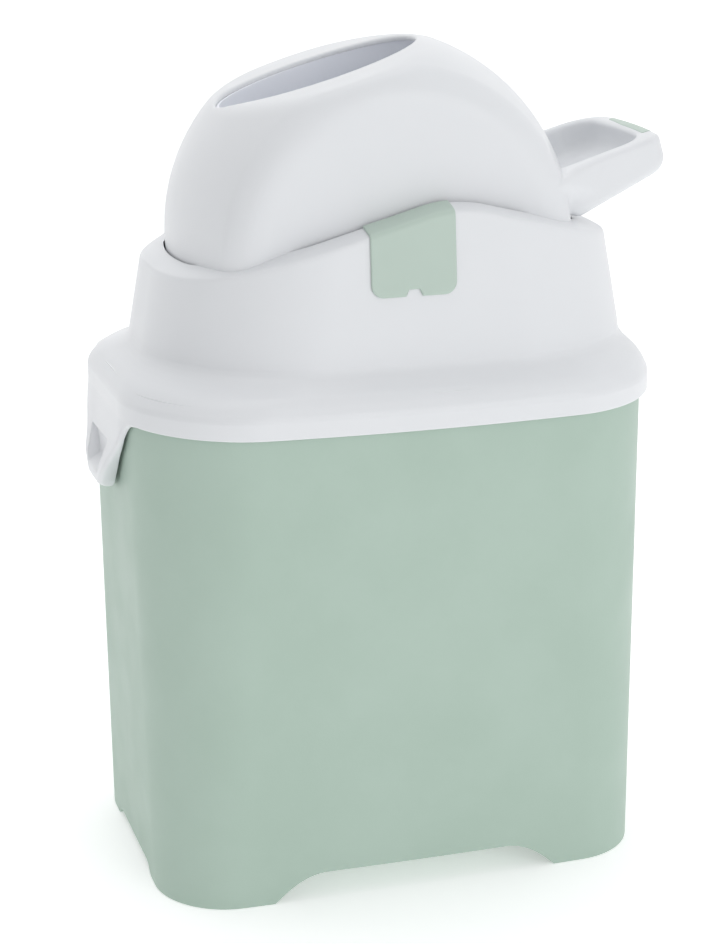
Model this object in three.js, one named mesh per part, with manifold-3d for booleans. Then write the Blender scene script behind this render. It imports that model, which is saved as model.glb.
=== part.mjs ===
// Nappy bin with a turning drum: a green container, a white hinged lid with a tall neck, a drum with
// a handle that flips from one side to the other, and a piston that falls through the drum's tube.
// Millimetres, +Z up, +X to the handle's side, -Y to the front. The origin is on the floor under the middle.
import * as THREE from 'three';
import Module from 'manifold-3d';
import { mergeVertices } from 'three/addons/utils/BufferGeometryUtils.js';

const wasm = await Module();
wasm.setup();

// Shared clearances and cutting overrun
const seatGap = 0.3;
const overrun = 5;
const cornerSteps = 6;
const sideSteps = 6;
const turnSteps = 42;

// Container, from the outline of its rim down to its foot
const rim = { halfWidth: 179.45, halfDepth: 122.2, corner: 74.2, bow: 14 };
const containerHeight = 335;
const containerWall = 2.8;
const endDraft = 6.45;
const frontDraft = 4.2;
const footCorner = 63;
const footBow = 3.5;
const floorUnderside = 20;
const floorThickness = 3;
const footLedge = 16;
const footLedgeThickness = 3;
const frontLeg = 72;
const frontArchHeight = 18;
const frontArchShoulder = 36;
const endLeg = 64;
const endArchHeight = 7;
const endArchShoulder = 12;

// Lid skirt, which hides the container's rim
const skirtOverhang = 4.2;
const rimCover = 7.7;
const lidWall = 2.6;

// Lid neck, which rises from the shoulder and is open round the drum
const shoulderHeight = 39.7;
const shoulderEndStep = 17.65;
const shoulderFrontStep = 10.4;
const neckCorner = 101;
const neckShift = 7.3;
const neckEndSlope = 0.17;
const neckFrontSlope = 0.09;
const neckCornerSlope = 0.04;
const neckLand = 3;
const neckHeight = 54.3;
const ridgeShift = 31;
const ridgeOverRing = 45.7;
const ridgeRiseAngle = THREE.MathUtils.degToRad(15.3);
const ridgeFallAngle = THREE.MathUtils.degToRad(14.2);
const ridgeBlend = 12;
const ringBlend = 4;
// Shares of the way from the skirt's outline to the neck's, and of the height between them
const shoulderShares = [[0.02, 0.345], [0.11, 0.47], [0.34, 0.635], [0.62, 0.75], [0.88, 0.85], [1, 1]];
// The neck's upper edge, as distances inwards from its side and below its top: a crease, then a slope
const neckEdge = [[0, 5.4], [0.7, 4], [2.2, 3], [8, 1.2], [14, 0]];

// Grip tab, moulded under the skirt's left end, with a finger pocket
const tabHeight = 59;
const tabHalfWidth = 77;
const tabWallGap = 0.9;
const tabBulge = 8;
const tabPocketDepth = 8.6;
const tabPocketDrop = 22.3;
const tabPocketHeight = 22;
const tabPocketTopHalf = 24;
const tabPocketBottomHalf = 13;
// Half widths of the tab, as shares of its largest, against shares of its height below the skirt
const tabWidthShares = [
  [1, 0], [0.82, 0.09], [0.675, 0.32], [0.52, 0.51], [0.36, 0.74], [0.21, 0.93], [0.06, 1],
];
// Outer face of the tab, as shares of its bulge, against shares of its height below the skirt
const tabBulgeShares = [[0, 0], [0.02, 0.2], [0.2, 0.38], [0.84, 0.72], [1, 0.87], [0.75, 0.95], [0.3, 1]];

// Hinge at the right end
const hingeOut = 10;
const hingeBelowSkirt = 6.3;
const hingeRadius = 5;
const hingePinRadius = 2.2;
const hingePinHead = 3.6;
const hingePinHeadLength = 2;
const hingePinTail = 2;
const knuckleHalf = 18;
const lugWidth = 8;
const hingeArm = 4;
const knuckleArmRise = 4;

// Bag ring on the container's rim, and the lid gasket above it
const bagRingThickness = 2.4;
const bagRingFilmGap = 0.6;
const bagRingDrop = 25;
const gasketThickness = 2.7;
const gasketInset = 2;
const gasketWidth = 3.8;
const gasketRibInset = 2.4;
const gasketRibWidth = 3;

// Drum: a body turned about the front-to-back axis, cut flat at both ends of its tube
const pivotShift = 1.5;
const pivotOverRing = 10.7;
const drumTilt = THREE.MathUtils.degToRad(16.2);
const drumEndRoom = 31;
const drumSideRoom = 24;
const drumCrown = 187;
const drumEdge = 15;
const drumCutDepth = 22.5;
const drumWall = 2.6;
const drumLip = 3;
const drumRunningGap = 1.2;
const drumSplit = 36;

// Tube through the drum, and the mouth at each end
const mouthEndRim = 5.8;
const mouthSideRim = 46;
const tubeWiden = 2.5;
const tubeWall = 2;

// Handle, with a tray between its rails
const handleFace = 8.5;
const handleLength = 66;
const handleTipSlope = 0.115;
const handleCrown = 3;
const handleCorner = 20;
const handleBury = 45;
const handleRootStep = 13.3;
const handleTipStep = 35.7;
const handleRim = 13;
const handleNeckGap = 2.2;
const handleUnderTip = 14.5;
const handleUnderRise = 6;
const handleUnderEnd = 5;
const trayFloor = 3;
const inlayHalf = 31;
const inlayInset = 3;
const inlayWidth = 7.5;
const inlayDepth = 1.4;
const inlayProud = 0.3;

// Axles, their bushes and the clips that hold them down in the neck
const axleRadius = 7.4;
const axleFlange = 13;
const axleFlangeThickness = 3;
const axleScrewRadius = 2;
const axleScrewHead = 4;
const axleScrewHeadLength = 2.4;
const axleScrewLength = 13;
const bushWall = 1.5;
const saddleHalf = 16;
const saddleDepth = 18;
const clipHalf = 28.5;
const clipOffset = 2.5;
const clipDrop = 23.5;
const clipCorner = 8;
const clipThickness = 1.5;
const clipNotch = 4.5;

// Cradle under the drum
const cradleGap = 4;
const cradleBelowNeck = 7;
const cradleThickness = 3;
const cradleWall = 2.4;
const cradleDepth = 38;
const sealGap = 0.5;
const sealWidth = 5;
const sealHeight = 5;
const bossRadius = 6.5;
const bossHeight = 15;
const bossInset = 8.5;
const screwRadius = 1.5;
const screwHead = 3.6;
const screwHeadLength = 2.2;
const screwLength = 11;

// Piston
const pistonHalf = 28;
const pistonGap = 0.8;
const pistonFlange = 4;
const pistonGroove = 1.8;
const pistonWall = 2.5;
const sealRingHeight = 4;
const sealRingGap = 0.3;
const weightInset = 14;
const weightHeight = 16;
const boltRadius = 3;
const boltHead = 6.5;
const boltHeadLength = 3.5;
const boltRecess = 9;

// Places that follow from the sizes above
const skirt = grow(rim, skirtOverhang);
const foot = {
  halfWidth: rim.halfWidth - endDraft,
  halfDepth: rim.halfDepth - frontDraft,
  corner: footCorner,
  bow: footBow,
};
const neckBase = {
  halfWidth: skirt.halfWidth - shoulderEndStep,
  halfDepth: skirt.halfDepth - shoulderFrontStep,
  corner: neckCorner,
  bow: 0,
};
const skirtBottom = containerHeight - rimCover;
const neckBaseHeight = skirtBottom + shoulderHeight;
const ringHeight = neckBaseHeight + neckHeight;
const ridgeHeight = ringHeight + ridgeOverRing;
const pivotHeight = ringHeight + pivotOverRing;
const cradleTop = neckBaseHeight - cradleBelowNeck;
const drumRadius = neckBase.halfWidth - drumEndRoom;
const drumHalfDepth = neckBase.halfDepth - drumSideRoom;
const drumCut = drumRadius - drumCutDepth;
const mouthHalfLength = Math.sqrt(drumRadius ** 2 - drumCut ** 2) - mouthEndRim;
const mouthHalfWidth = drumHalfDepth - mouthSideRim;
const handleReach = drumRadius + handleLength;
const handleRootX = drumRadius - handleBury;
const handleRootHalf = drumHalfDepth - handleRootStep;
const handleTipHalf = drumHalfDepth - handleTipStep;

// Materials, with the colours of the photograph
const makeMaterial = (color, roughness, metalness = 0) => () =>
  new THREE.MeshStandardMaterial({ color, roughness, metalness });
const whiteGloss = makeMaterial(0xe9ebee, 0.28);
const sageGreen = makeMaterial(0xb2c6ba, 0.42);
const sageGloss = makeMaterial(0xa9bfb1, 0.35);
const whiteInner = makeMaterial(0xd6d8e0, 0.4);
const greyPlastic = makeMaterial(0xb9bcc1, 0.5);
const darkRubber = makeMaterial(0x55585c, 0.85);
const paleRubber = makeMaterial(0xcfd2d4, 0.8);
const steel = makeMaterial(0xa9adb2, 0.3, 0.9);
const castIron = makeMaterial(0x6d7074, 0.6, 0.7);

// Solids from geometries
function signedVolume(geometry) {
  const p = geometry.attributes.position;
  const index = geometry.index.array;
  const [a, b, c] = [new THREE.Vector3(), new THREE.Vector3(), new THREE.Vector3()];
  let sum = 0;
  for (let i = 0; i < index.length; i += 3) {
    a.fromBufferAttribute(p, index[i]);
    b.fromBufferAttribute(p, index[i + 1]);
    c.fromBufferAttribute(p, index[i + 2]);
    sum += a.dot(b.cross(c));
  }
  return sum;
}

function solid(source) {
  const bare = source.clone();
  bare.deleteAttribute('normal');
  bare.deleteAttribute('uv');
  const geometry = mergeVertices(bare, 1e-4);
  const index = Array.from(geometry.index.array);
  const inverted = signedVolume(geometry) < 0;
  const kept = [];
  for (let i = 0; i < index.length; i += 3) {
    const [a, b, c] = index.slice(i, i + 3);
    if (a === b || b === c || c === a) continue;
    kept.push(a, inverted ? c : b, inverted ? b : c);
  }
  return new wasm.Manifold(new wasm.Mesh({
    numProp: 3,
    vertProperties: new Float32Array(geometry.attributes.position.array),
    triVerts: new Uint32Array(kept),
  }));
}

function toMesh(name, body, material) {
  const { vertProperties, triVerts } = body.getMesh();
  const geometry = new THREE.BufferGeometry();
  geometry.setAttribute('position', new THREE.BufferAttribute(new Float32Array(vertProperties), 3));
  geometry.setIndex(new THREE.BufferAttribute(new Uint32Array(triVerts), 1));
  geometry.computeVertexNormals();
  const mesh = new THREE.Mesh(geometry, material());
  mesh.name = name;
  return mesh;
}

function block(x0, x1, y0, y1, z0, z1) {
  const geometry = new THREE.BoxGeometry(x1 - x0, y1 - y0, z1 - z0);
  geometry.translate((x0 + x1) / 2, (y0 + y1) / 2, (z0 + z1) / 2);
  return solid(geometry);
}

// A cylinder along Y or Z from one end to the other, at a point of the plane across it
function rod(axis, radius, from, to, u, v, steps = 24) {
  const geometry = new THREE.CylinderGeometry(radius, radius, to - from, steps);
  geometry.translate(0, (from + to) / 2, 0);
  if (axis === 'z') {
    geometry.rotateX(Math.PI / 2);
    geometry.translate(u, v, 0);
  } else {
    geometry.translate(u, 0, v);
  }
  return solid(geometry);
}

// A turned piece along Y or Z, from a profile of [radius, place along the axis] closed on the axis
function turned(axis, profile, u, v, steps = 24) {
  const geometry = new THREE.LatheGeometry(profile.map(([r, h]) => new THREE.Vector2(r, h)), steps);
  if (axis === 'z') {
    geometry.rotateX(Math.PI / 2);
    geometry.translate(u, v, 0);
  } else {
    geometry.translate(u, 0, v);
  }
  return solid(geometry);
}

const plainEnds = { bevelEnabled: false, curveSegments: 6 };

// A shape of the X-Z plane, carried along Y from one value to another
function alongY(shape, from, to) {
  const geometry = new THREE.ExtrudeGeometry(shape, { depth: to - from, ...plainEnds });
  geometry.rotateX(Math.PI / 2);
  geometry.translate(0, to, 0);
  return solid(geometry);
}

// A shape of the Y-Z plane, carried along X from one value to another
function alongX(shape, from, to) {
  const geometry = new THREE.ExtrudeGeometry(shape, { depth: to - from, ...plainEnds });
  geometry.rotateX(Math.PI / 2);
  geometry.rotateZ(Math.PI / 2);
  geometry.translate(from, 0, 0);
  return solid(geometry);
}

function polygon(points) {
  return new THREE.Shape(points.map(([u, v]) => new THREE.Vector2(u, v)));
}

// Outlines: the front half from the left end to the right end, mirrored for the back
function grow(outline, by) {
  return {
    halfWidth: outline.halfWidth + by,
    halfDepth: outline.halfDepth + by,
    corner: outline.corner + by,
    bow: outline.bow,
  };
}

function mixOutlines(a, b, share) {
  const mixed = {};
  for (const key of Object.keys(a)) mixed[key] = a[key] + (b[key] - a[key]) * share;
  return mixed;
}

function bowed(x, y, { halfWidth, halfDepth, bow }) {
  return y - bow * (1 - (x / halfWidth) ** 2) * (-y / halfDepth);
}

function frontHalf({ halfWidth, halfDepth, corner, bow }) {
  const points = [[-halfWidth, 0]];
  const cx = halfWidth - corner;
  const cy = halfDepth - corner;
  for (let i = 0; i <= cornerSteps; i += 1) {
    const angle = Math.PI * (1 + i / cornerSteps / 2);
    points.push([-cx + corner * Math.cos(angle), -cy + corner * Math.sin(angle)]);
  }
  for (let i = 1; i < sideSteps; i += 1) points.push([-cx + 2 * cx * i / sideSteps, -halfDepth]);
  for (let i = 0; i <= cornerSteps; i += 1) {
    const angle = Math.PI * (1.5 + i / cornerSteps / 2);
    points.push([cx + corner * Math.cos(angle), -cy + corner * Math.sin(angle)]);
  }
  points.push([halfWidth, 0]);
  return points.map(([x, y]) => [x, bowed(x, y, { halfWidth, halfDepth, bow })]);
}

function ellipseHalf(halfLength, halfWidth) {
  const points = [];
  const steps = 2 * cornerSteps + 6;
  for (let i = 0; i <= steps; i += 1) {
    const angle = Math.PI * (1 + i / steps);
    points.push([halfLength * Math.cos(angle), i === 0 || i === steps ? 0 : halfWidth * Math.sin(angle)]);
  }
  return points;
}

// A ring of points from a front half: height is a number or a function of x
function ring(half, height, shift = 0) {
  const last = half.length - 1;
  const back = half.slice(1, last).reverse().map(([x, y]) => [x, -y]);
  const level = (x) => (typeof height === 'function' ? height(x) : height);
  return [...half, ...back].map(([x, y]) => new THREE.Vector3(x + shift, y, level(x + shift)));
}

// A closed body through rings stacked upwards, capped by strips from front to back
function loft(rings) {
  const n = rings[0].length;
  const top = (rings.length - 1) * n;
  const index = [];
  for (let i = 0; i < rings.length - 1; i += 1) {
    for (let k = 0; k < n; k += 1) {
      const [a, b] = [i * n + k, i * n + (k + 1) % n];
      index.push(a, b, b + n, a, b + n, a + n);
    }
  }
  for (let k = 0; k < n / 2; k += 1) {
    const [f0, f1, b0, b1] = [k, k + 1, (n - k) % n, n - k - 1];
    if (f0 !== b0) {
      index.push(f0, b0, f1, top + f0, top + f1, top + b0);
    }
    if (f1 !== b1) {
      index.push(f1, b0, b1, top + f1, top + b1, top + b0);
    }
  }
  const places = rings.flat().flatMap((p) => p.toArray());
  const geometry = new THREE.BufferGeometry();
  geometry.setAttribute('position', new THREE.Float32BufferAttribute(places, 3));
  geometry.setIndex(index);
  return solid(geometry);
}

function slab(outline, bottom, top) {
  return loft([ring(frontHalf(outline), bottom), ring(frontHalf(outline), top)]);
}

function ellipseSlab(halfLength, halfWidth, bottom, top) {
  const half = ellipseHalf(halfLength, halfWidth);
  return loft([ring(half, bottom), ring(half, top)]);
}

// Container
function containerOutline(height, inset) {
  return grow(mixOutlines(foot, rim, height / containerHeight), -inset);
}

function containerBlock(bottom, top, inset) {
  return loft([bottom, top].map((z) => ring(frontHalf(containerOutline(z, inset)), z)));
}

// An arch with shoulders that rise steeply from the floor and flatten out
function archShape(halfWidth, height, shoulder) {
  const shape = new THREE.Shape();
  shape.moveTo(-halfWidth, -overrun);
  shape.lineTo(-halfWidth, 0);
  shape.quadraticCurveTo(-halfWidth + shoulder / 2, height, -halfWidth + shoulder, height);
  shape.lineTo(halfWidth - shoulder, height);
  shape.quadraticCurveTo(halfWidth - shoulder / 2, height, halfWidth, 0);
  shape.lineTo(halfWidth, -overrun);
  return shape;
}

const hingeX = rim.halfWidth + hingeOut;
const hingeHeight = skirtBottom - hingeBelowSkirt;

function hingeLug(side) {
  const near = side * (knuckleHalf + seatGap);
  const far = side * (knuckleHalf + seatGap + lugWidth);
  const [from, to] = [Math.min(near, far), Math.max(near, far)];
  const wallX = containerOutline(hingeHeight, 0).halfWidth;
  const [low, high] = [hingeHeight - hingeArm, hingeHeight + hingeArm];
  const arm = block(wallX - containerWall / 2, hingeX, from, to, low, high);
  return arm.add(rod('y', hingeRadius, from, to, hingeX, hingeHeight));
}

function makeContainer() {
  const inner = containerBlock(floorUnderside + floorThickness, containerHeight + overrun, containerWall);
  const under = containerBlock(footLedgeThickness, floorUnderside, containerWall);
  const well = containerBlock(-overrun, footLedgeThickness + overrun, footLedge);
  const reach = rim.halfWidth + overrun;
  const frontShape = archShape(foot.halfWidth - frontLeg, frontArchHeight, frontArchShoulder);
  const frontArch = alongY(frontShape, -reach, reach);
  const endArch = alongX(archShape(foot.halfDepth - endLeg, endArchHeight, endArchShoulder), -reach, reach);
  const bore = rod('y', hingePinRadius + seatGap, -reach, reach, hingeX, hingeHeight, 16);
  return containerBlock(0, containerHeight, 0)
    .subtract(inner).subtract(under).subtract(well).subtract(frontArch).subtract(endArch)
    .add(hingeLug(-1)).add(hingeLug(1)).subtract(bore);
}

function makeBagRing() {
  const seat = containerHeight + seatGap;
  const top = seat + bagRingThickness;
  const inset = containerWall + bagRingFilmGap;
  const hem = containerBlock(seat - bagRingDrop, top, inset);
  const hole = containerBlock(seat - bagRingDrop - overrun, top + overrun, inset + bagRingThickness);
  return slab(grow(rim, -seatGap), seat, top).add(hem).subtract(hole);
}

function makeHingePin() {
  const end = knuckleHalf + seatGap + lugWidth + hingePinTail;
  const head = -end - hingePinHeadLength;
  return turned('y', [
    [0, head], [hingePinHead, head], [hingePinHead, -end + hingePinTail - seatGap],
    [hingePinRadius, -end + hingePinTail - seatGap], [hingePinRadius, end], [0, end],
  ], hingeX, hingeHeight, 16);
}

// Lid
function smoothMin(a, b, blend) {
  const h = Math.max(blend - Math.abs(a - b), 0) / blend;
  return Math.min(a, b) - h * h * blend / 4;
}

// Height of the neck's top edge: level on the left, up to a rounded ridge, and down to the right
function neckTop(x) {
  const rise = ridgeHeight + (x - ridgeShift) * Math.tan(ridgeRiseAngle);
  const fall = ridgeHeight - (x - ridgeShift) * Math.tan(ridgeFallAngle);
  return -smoothMin(-smoothMin(rise, fall, ridgeBlend), -ringHeight, ringBlend);
}

function neckOutline(height, offset) {
  const up = height - neckBaseHeight;
  return {
    halfWidth: neckBase.halfWidth - neckEndSlope * up + offset,
    halfDepth: neckBase.halfDepth - neckFrontSlope * up + offset,
    corner: neckBase.corner - neckCornerSlope * up + offset,
    bow: 0,
  };
}

// A ring of the neck that keeps a distance below the top edge, so that its height changes along x
function neckRing(below, offset) {
  const middle = frontHalf(neckOutline(neckTop(ridgeShift), offset));
  const half = middle.map(([x], k) => frontHalf(neckOutline(neckTop(x + neckShift) - below, offset))[k]);
  return ring(half, (x) => neckTop(x) - below, neckShift);
}

// The lid's outer skin, grown by an offset, or the hollow under it with a negative one
function lidBlock(offset, bottom, land) {
  const rings = [ring(frontHalf(grow(skirt, offset)), bottom)];
  for (const [out, up] of shoulderShares) {
    const z = skirtBottom + up * (neckBaseHeight - skirtBottom) + offset;
    rings.push(ring(frontHalf(grow(mixOutlines(skirt, neckBase, out), offset)), z, neckShift * out));
  }
  const [drop, run] = [neckEdge[0][1], neckEdge[neckEdge.length - 1][0]];
  if (land > 0) {
    rings.push(neckRing(land + drop, offset), neckRing(land, offset - run));
    return loft(rings);
  }
  for (const [inwards, below] of neckEdge) rings.push(neckRing(below - offset, offset - inwards));
  return loft(rings);
}

// The drum's outline by radius and depth, grown by an offset
function drumProfile(offset) {
  const halfDepth = drumHalfDepth + offset;
  const edge = drumEdge + offset;
  const crown = drumCrown + offset;
  const crownCentre = drumRadius - drumCrown;
  const edgeY = halfDepth - edge;
  const edgeR = crownCentre + Math.sqrt((crown - edge) ** 2 - edgeY ** 2);
  const lean = Math.asin(edgeY / (crown - edge));
  const quarter = [[0, -halfDepth]];
  for (const share of [0, 0.3, 0.6]) {
    const angle = Math.PI / 2 - share * (Math.PI / 2 - lean);
    quarter.push([edgeR + edge * Math.cos(angle), -edgeY - edge * Math.sin(angle)]);
  }
  for (const share of [1, 0.68, 0.34]) {
    quarter.push([crownCentre + crown * Math.cos(lean * share), -crown * Math.sin(lean * share)]);
  }
  const mirrored = quarter.map(([r, y]) => [r, -y]).reverse();
  return [...quarter, [crownCentre + crown, 0], ...mirrored];
}

function drumBody(offset, x, z) {
  return turned('y', drumProfile(offset), x, z, turnSteps);
}

function tabShield() {
  const left = tabWidthShares.map(([wide, down]) => [-wide * tabHalfWidth, skirtBottom - down * tabHeight]);
  const right = left.map(([y, z]) => [-y, z]).reverse();
  const top = skirtBottom + tabWallGap;
  return polygon([[-tabHalfWidth, top], ...left, ...right, [tabHalfWidth, top]]);
}

// The tab follows the skirt's outline, which swells below the skirt and draws in to the bottom
function makeTab() {
  const faces = tabBulgeShares.map(([out, down]) => [out * tabBulge, skirtBottom - down * tabHeight]);
  const rings = faces.reverse().map(([out, z]) => ring(frontHalf(grow(skirt, out)), z));
  const top = ring(frontHalf(skirt), skirtBottom + tabWallGap);
  const outer = loft([...rings, top]);
  const inner = slab(grow(rim, tabWallGap), skirtBottom - tabHeight - overrun, neckBaseHeight);
  const shield = alongX(tabShield(), -skirt.halfWidth - tabBulge - overrun, -skirt.halfWidth + skirt.corner);
  const pocketTop = skirtBottom - tabPocketDrop;
  const pocketBottom = pocketTop - tabPocketHeight;
  const pocketShape = polygon([
    [-tabPocketTopHalf, pocketTop], [-tabPocketBottomHalf, pocketBottom],
    [tabPocketBottomHalf, pocketBottom], [tabPocketTopHalf, pocketTop],
  ]);
  const pocketX = -skirt.halfWidth - tabBulge;
  const pocket = alongX(pocketShape, pocketX - overrun, pocketX + tabPocketDepth);
  return outer.intersect(shield).subtract(inner).subtract(pocket);
}

// Corners of the neck where the cradle's screws go
function screwPlaces() {
  const half = neckBase.halfWidth - neckBase.corner;
  const deep = neckBase.halfDepth - neckBase.corner;
  const along = (neckBase.corner - bossInset) * Math.SQRT1_2;
  const corners = [[-1, -1], [-1, 1], [1, -1], [1, 1]];
  return corners.map(([sx, sy]) => [neckShift + sx * (half + along), sy * (deep + along)]);
}

const slotRadius = axleRadius + seatGap + bushWall + seatGap;
const bearingNear = drumHalfDepth + drumRunningGap;
const bearingFar = neckOutline(pivotHeight + slotRadius, 0).halfDepth;

// The stretch between two distances from the middle, on the front side or the back side
function span(side, near, far) {
  return side < 0 ? [-far, -near] : [near, far];
}

// The slot that the axle's bush drops into, open at the neck's top edge
function bearingSlot(side) {
  const [from, to] = span(side, bearingNear - overrun, bearingFar + overrun);
  const [left, right] = [pivotShift - slotRadius, pivotShift + slotRadius];
  const channel = block(left, right, from, to, pivotHeight, ridgeHeight + overrun);
  return rod('y', slotRadius, from, to, pivotShift, pivotHeight).add(channel);
}

function bearingSaddle(side, outer) {
  const [from, to] = span(side, bearingNear, bearingFar);
  const [left, right] = [pivotShift - saddleHalf, pivotShift + saddleHalf];
  return block(left, right, from, to, pivotHeight - saddleDepth, pivotHeight).intersect(outer);
}

// A rib inside the lid that presses on the gasket
function makeGasketRib() {
  const outline = grow(rim, -gasketRibInset);
  const bottom = containerHeight + 3 * seatGap + bagRingThickness + gasketThickness;
  const hole = slab(grow(outline, -gasketRibWidth), bottom - overrun, neckBaseHeight + overrun);
  const room = lidBlock(-lidWall / 2, skirtBottom - overrun, neckLand);
  return slab(outline, bottom, neckBaseHeight).subtract(hole).intersect(room);
}

function makeKnuckle() {
  const [from, to] = [-knuckleHalf, knuckleHalf];
  const armLeft = skirt.halfWidth - lidWall / 2;
  const bore = rod('y', hingePinRadius + seatGap, from - overrun, to + overrun, hingeX, hingeHeight, 16);
  return block(armLeft, hingeX, from, to, hingeHeight, skirtBottom + knuckleArmRise)
    .add(rod('y', hingeRadius, from, to, hingeX, hingeHeight)).subtract(bore);
}

function makeLidHousing() {
  const outer = lidBlock(0, skirtBottom, 0);
  let body = outer.subtract(lidBlock(-lidWall, skirtBottom - overrun, neckLand)).add(makeGasketRib());
  for (const [x, y] of screwPlaces()) {
    const seat = cradleTop + seatGap;
    const boss = rod('z', bossRadius, seat, seat + bossHeight, x, y, 16).intersect(outer);
    const hole = rod('z', screwRadius + seatGap, seat - overrun, cradleTop + screwLength, x, y, 12);
    body = body.add(boss).subtract(hole);
  }
  body = body.add(bearingSaddle(-1, outer)).add(bearingSaddle(1, outer));
  body = body.subtract(bearingSlot(-1)).subtract(bearingSlot(1));
  body = body.subtract(drumBody(drumRunningGap, pivotShift, pivotHeight));
  return body.add(makeTab()).add(makeKnuckle());
}

function makeGasket() {
  const outline = grow(rim, -gasketInset);
  const bottom = containerHeight + 2 * seatGap + bagRingThickness;
  const top = bottom + gasketThickness;
  const hole = slab(grow(outline, -gasketWidth), bottom - overrun, top + overrun);
  return slab(outline, bottom, top).subtract(hole);
}

function clipFace() {
  const middle = pivotShift - clipOffset;
  const bottom = pivotHeight - clipDrop;
  const [left, right] = [middle - clipHalf, middle + clipHalf];
  const face = new THREE.Shape();
  face.moveTo(left, ridgeHeight + overrun);
  face.lineTo(left, bottom + clipCorner);
  face.absarc(left + clipCorner, bottom + clipCorner, clipCorner, Math.PI, Math.PI * 1.5, false);
  face.lineTo(middle - clipNotch, bottom);
  face.absarc(middle, bottom, clipNotch, Math.PI, 0, true);
  face.lineTo(right - clipCorner, bottom);
  face.absarc(right - clipCorner, bottom + clipCorner, clipCorner, Math.PI * 1.5, Math.PI * 2, false);
  face.lineTo(right, ridgeHeight + overrun);
  return face;
}

// A clip over the neck's edge, which covers the slot and holds the bush down
function makeClip(side) {
  const inner = lidBlock(seatGap, skirtBottom - overrun, 0);
  const skin = lidBlock(seatGap + clipThickness, skirtBottom, 0).subtract(inner);
  const near = bearingNear + seatGap;
  const [from, to] = span(side, near, bearingFar + 2 * overrun);
  const half = slotRadius - seatGap;
  const [back, fore] = span(side, near, bearingFar - lidWall);
  const low = pivotHeight + slotRadius;
  const tongue = block(pivotShift - half, pivotShift + half, back, fore, low, ridgeHeight)
    .intersect(lidBlock(seatGap + clipThickness / 2, skirtBottom, 0));
  return skin.intersect(alongY(clipFace(), from, to)).add(tongue);
}

function makeBush(side) {
  const [from, to] = span(side, bearingNear + seatGap, bearingFar - seatGap);
  const bore = rod('y', axleRadius + seatGap, from - overrun, to + overrun, pivotShift, pivotHeight);
  return rod('y', axleRadius + seatGap + bushWall, from, to, pivotShift, pivotHeight).subtract(bore);
}

// The part of the drum's shape, grown by an offset, that lies between two heights in the lid
function drumBand(offset, bottom, top) {
  const reach = drumRadius + drumHalfDepth;
  const band = block(-reach, reach, -reach, reach, bottom, top);
  return drumBody(offset, pivotShift, pivotHeight).intersect(band);
}

function makeCradle() {
  const underside = cradleTop - cradleThickness;
  const sealRoom = sealGap + sealWidth + seatGap;
  const plate = slab(grow(neckBase, -cradleGap), underside, cradleTop).translate([neckShift, 0, 0]);
  const collar = drumBand(drumRunningGap + cradleWall, cradleTop - cradleDepth, underside);
  const ledge = drumBand(sealRoom + cradleWall, cradleTop - sealHeight - cradleWall, cradleTop);
  let body = plate.add(collar).add(ledge)
    .subtract(drumBody(drumRunningGap, pivotShift, pivotHeight))
    .subtract(drumBand(sealRoom, cradleTop - sealHeight, cradleTop + overrun));
  for (const [x, y] of screwPlaces()) {
    body = body.subtract(rod('z', screwRadius + seatGap, underside - overrun, cradleTop + overrun, x, y, 12));
  }
  return body;
}

function makeDrumSeal() {
  const bottom = cradleTop - sealHeight + seatGap;
  return drumBand(sealGap + sealWidth, bottom, cradleTop)
    .subtract(drumBody(sealGap, pivotShift, pivotHeight));
}

function makeCradleScrew(x, y) {
  const underside = cradleTop - cradleThickness - seatGap;
  return turned('z', [
    [0, underside - screwHeadLength], [screwHead * Math.SQRT1_2, underside - screwHeadLength],
    [screwHead, underside - screwHeadLength / 2], [screwHead, underside], [screwRadius, underside],
    [screwRadius, cradleTop + screwLength - seatGap], [0, cradleTop + screwLength - seatGap],
  ], x, y, 12);
}

// Drum, in its own frame: X along the handle, Z along the tube, the axle on Y through the origin
const drumReach = handleReach + overrun;

// Half of the handle's outline at a height, inset by the rim for the tray
function handlePlan(height, inset) {
  const slope = (handleRootHalf - handleTipHalf) / (handleReach - handleRootX);
  const half = (x) => handleRootHalf - slope * (x - handleRootX) - inset;
  const tip = handleReach + handleTipSlope * (handleFace - height) - inset;
  const corner = handleCorner - Math.min(inset, handleCorner / 2);
  const cornerX = tip - handleCrown - corner;
  const side = -half(cornerX);
  const points = [[handleRootX, 0], [handleRootX, -half(handleRootX)], [cornerX, side]];
  for (const share of [0.25, 0.5, 0.75, 1]) {
    const angle = share * Math.PI / 2;
    points.push([cornerX + corner * Math.sin(angle), side + corner * (1 - Math.cos(angle))]);
  }
  return [...points, [tip - handleCrown / 4, (side + corner) / 2], [tip, 0]];
}

function handleBlock(bottom, top, inset) {
  return loft([ring(handlePlan(bottom, inset), bottom), ring(handlePlan(top, inset), top)]);
}

// The underside keeps clear of the neck's falling edge as far as the drum's surface, then rises to the tip
function handleUnder(lift) {
  const [up, over] = [ridgeHeight + handleNeckGap - pivotHeight, ridgeShift - pivotShift];
  const ridgeAlong = over * Math.cos(drumTilt) + up * Math.sin(drumTilt);
  const ridgeUp = up * Math.cos(drumTilt) - over * Math.sin(drumTilt);
  const fall = Math.tan(drumTilt + ridgeFallAngle);
  const top = handleFace + overrun;
  return alongY(polygon([
    [ridgeAlong + (ridgeUp + lift - top) / fall, top],
    [drumRadius, ridgeUp + lift - (drumRadius - ridgeAlong) * fall],
    [handleReach - handleUnderEnd, lift - handleUnderTip],
    [drumReach, lift - handleUnderTip + handleUnderRise], [drumReach, top],
  ]), -handleRootHalf - overrun, handleRootHalf + overrun);
}

// The part of the drum's shape, grown by an offset, that lies between two heights in its own frame
function drumSlice(offset, bottom, top) {
  const slice = block(-drumReach, drumReach, -drumReach, drumReach, bottom, top);
  return drumBody(offset, 0, 0).intersect(slice);
}

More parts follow.
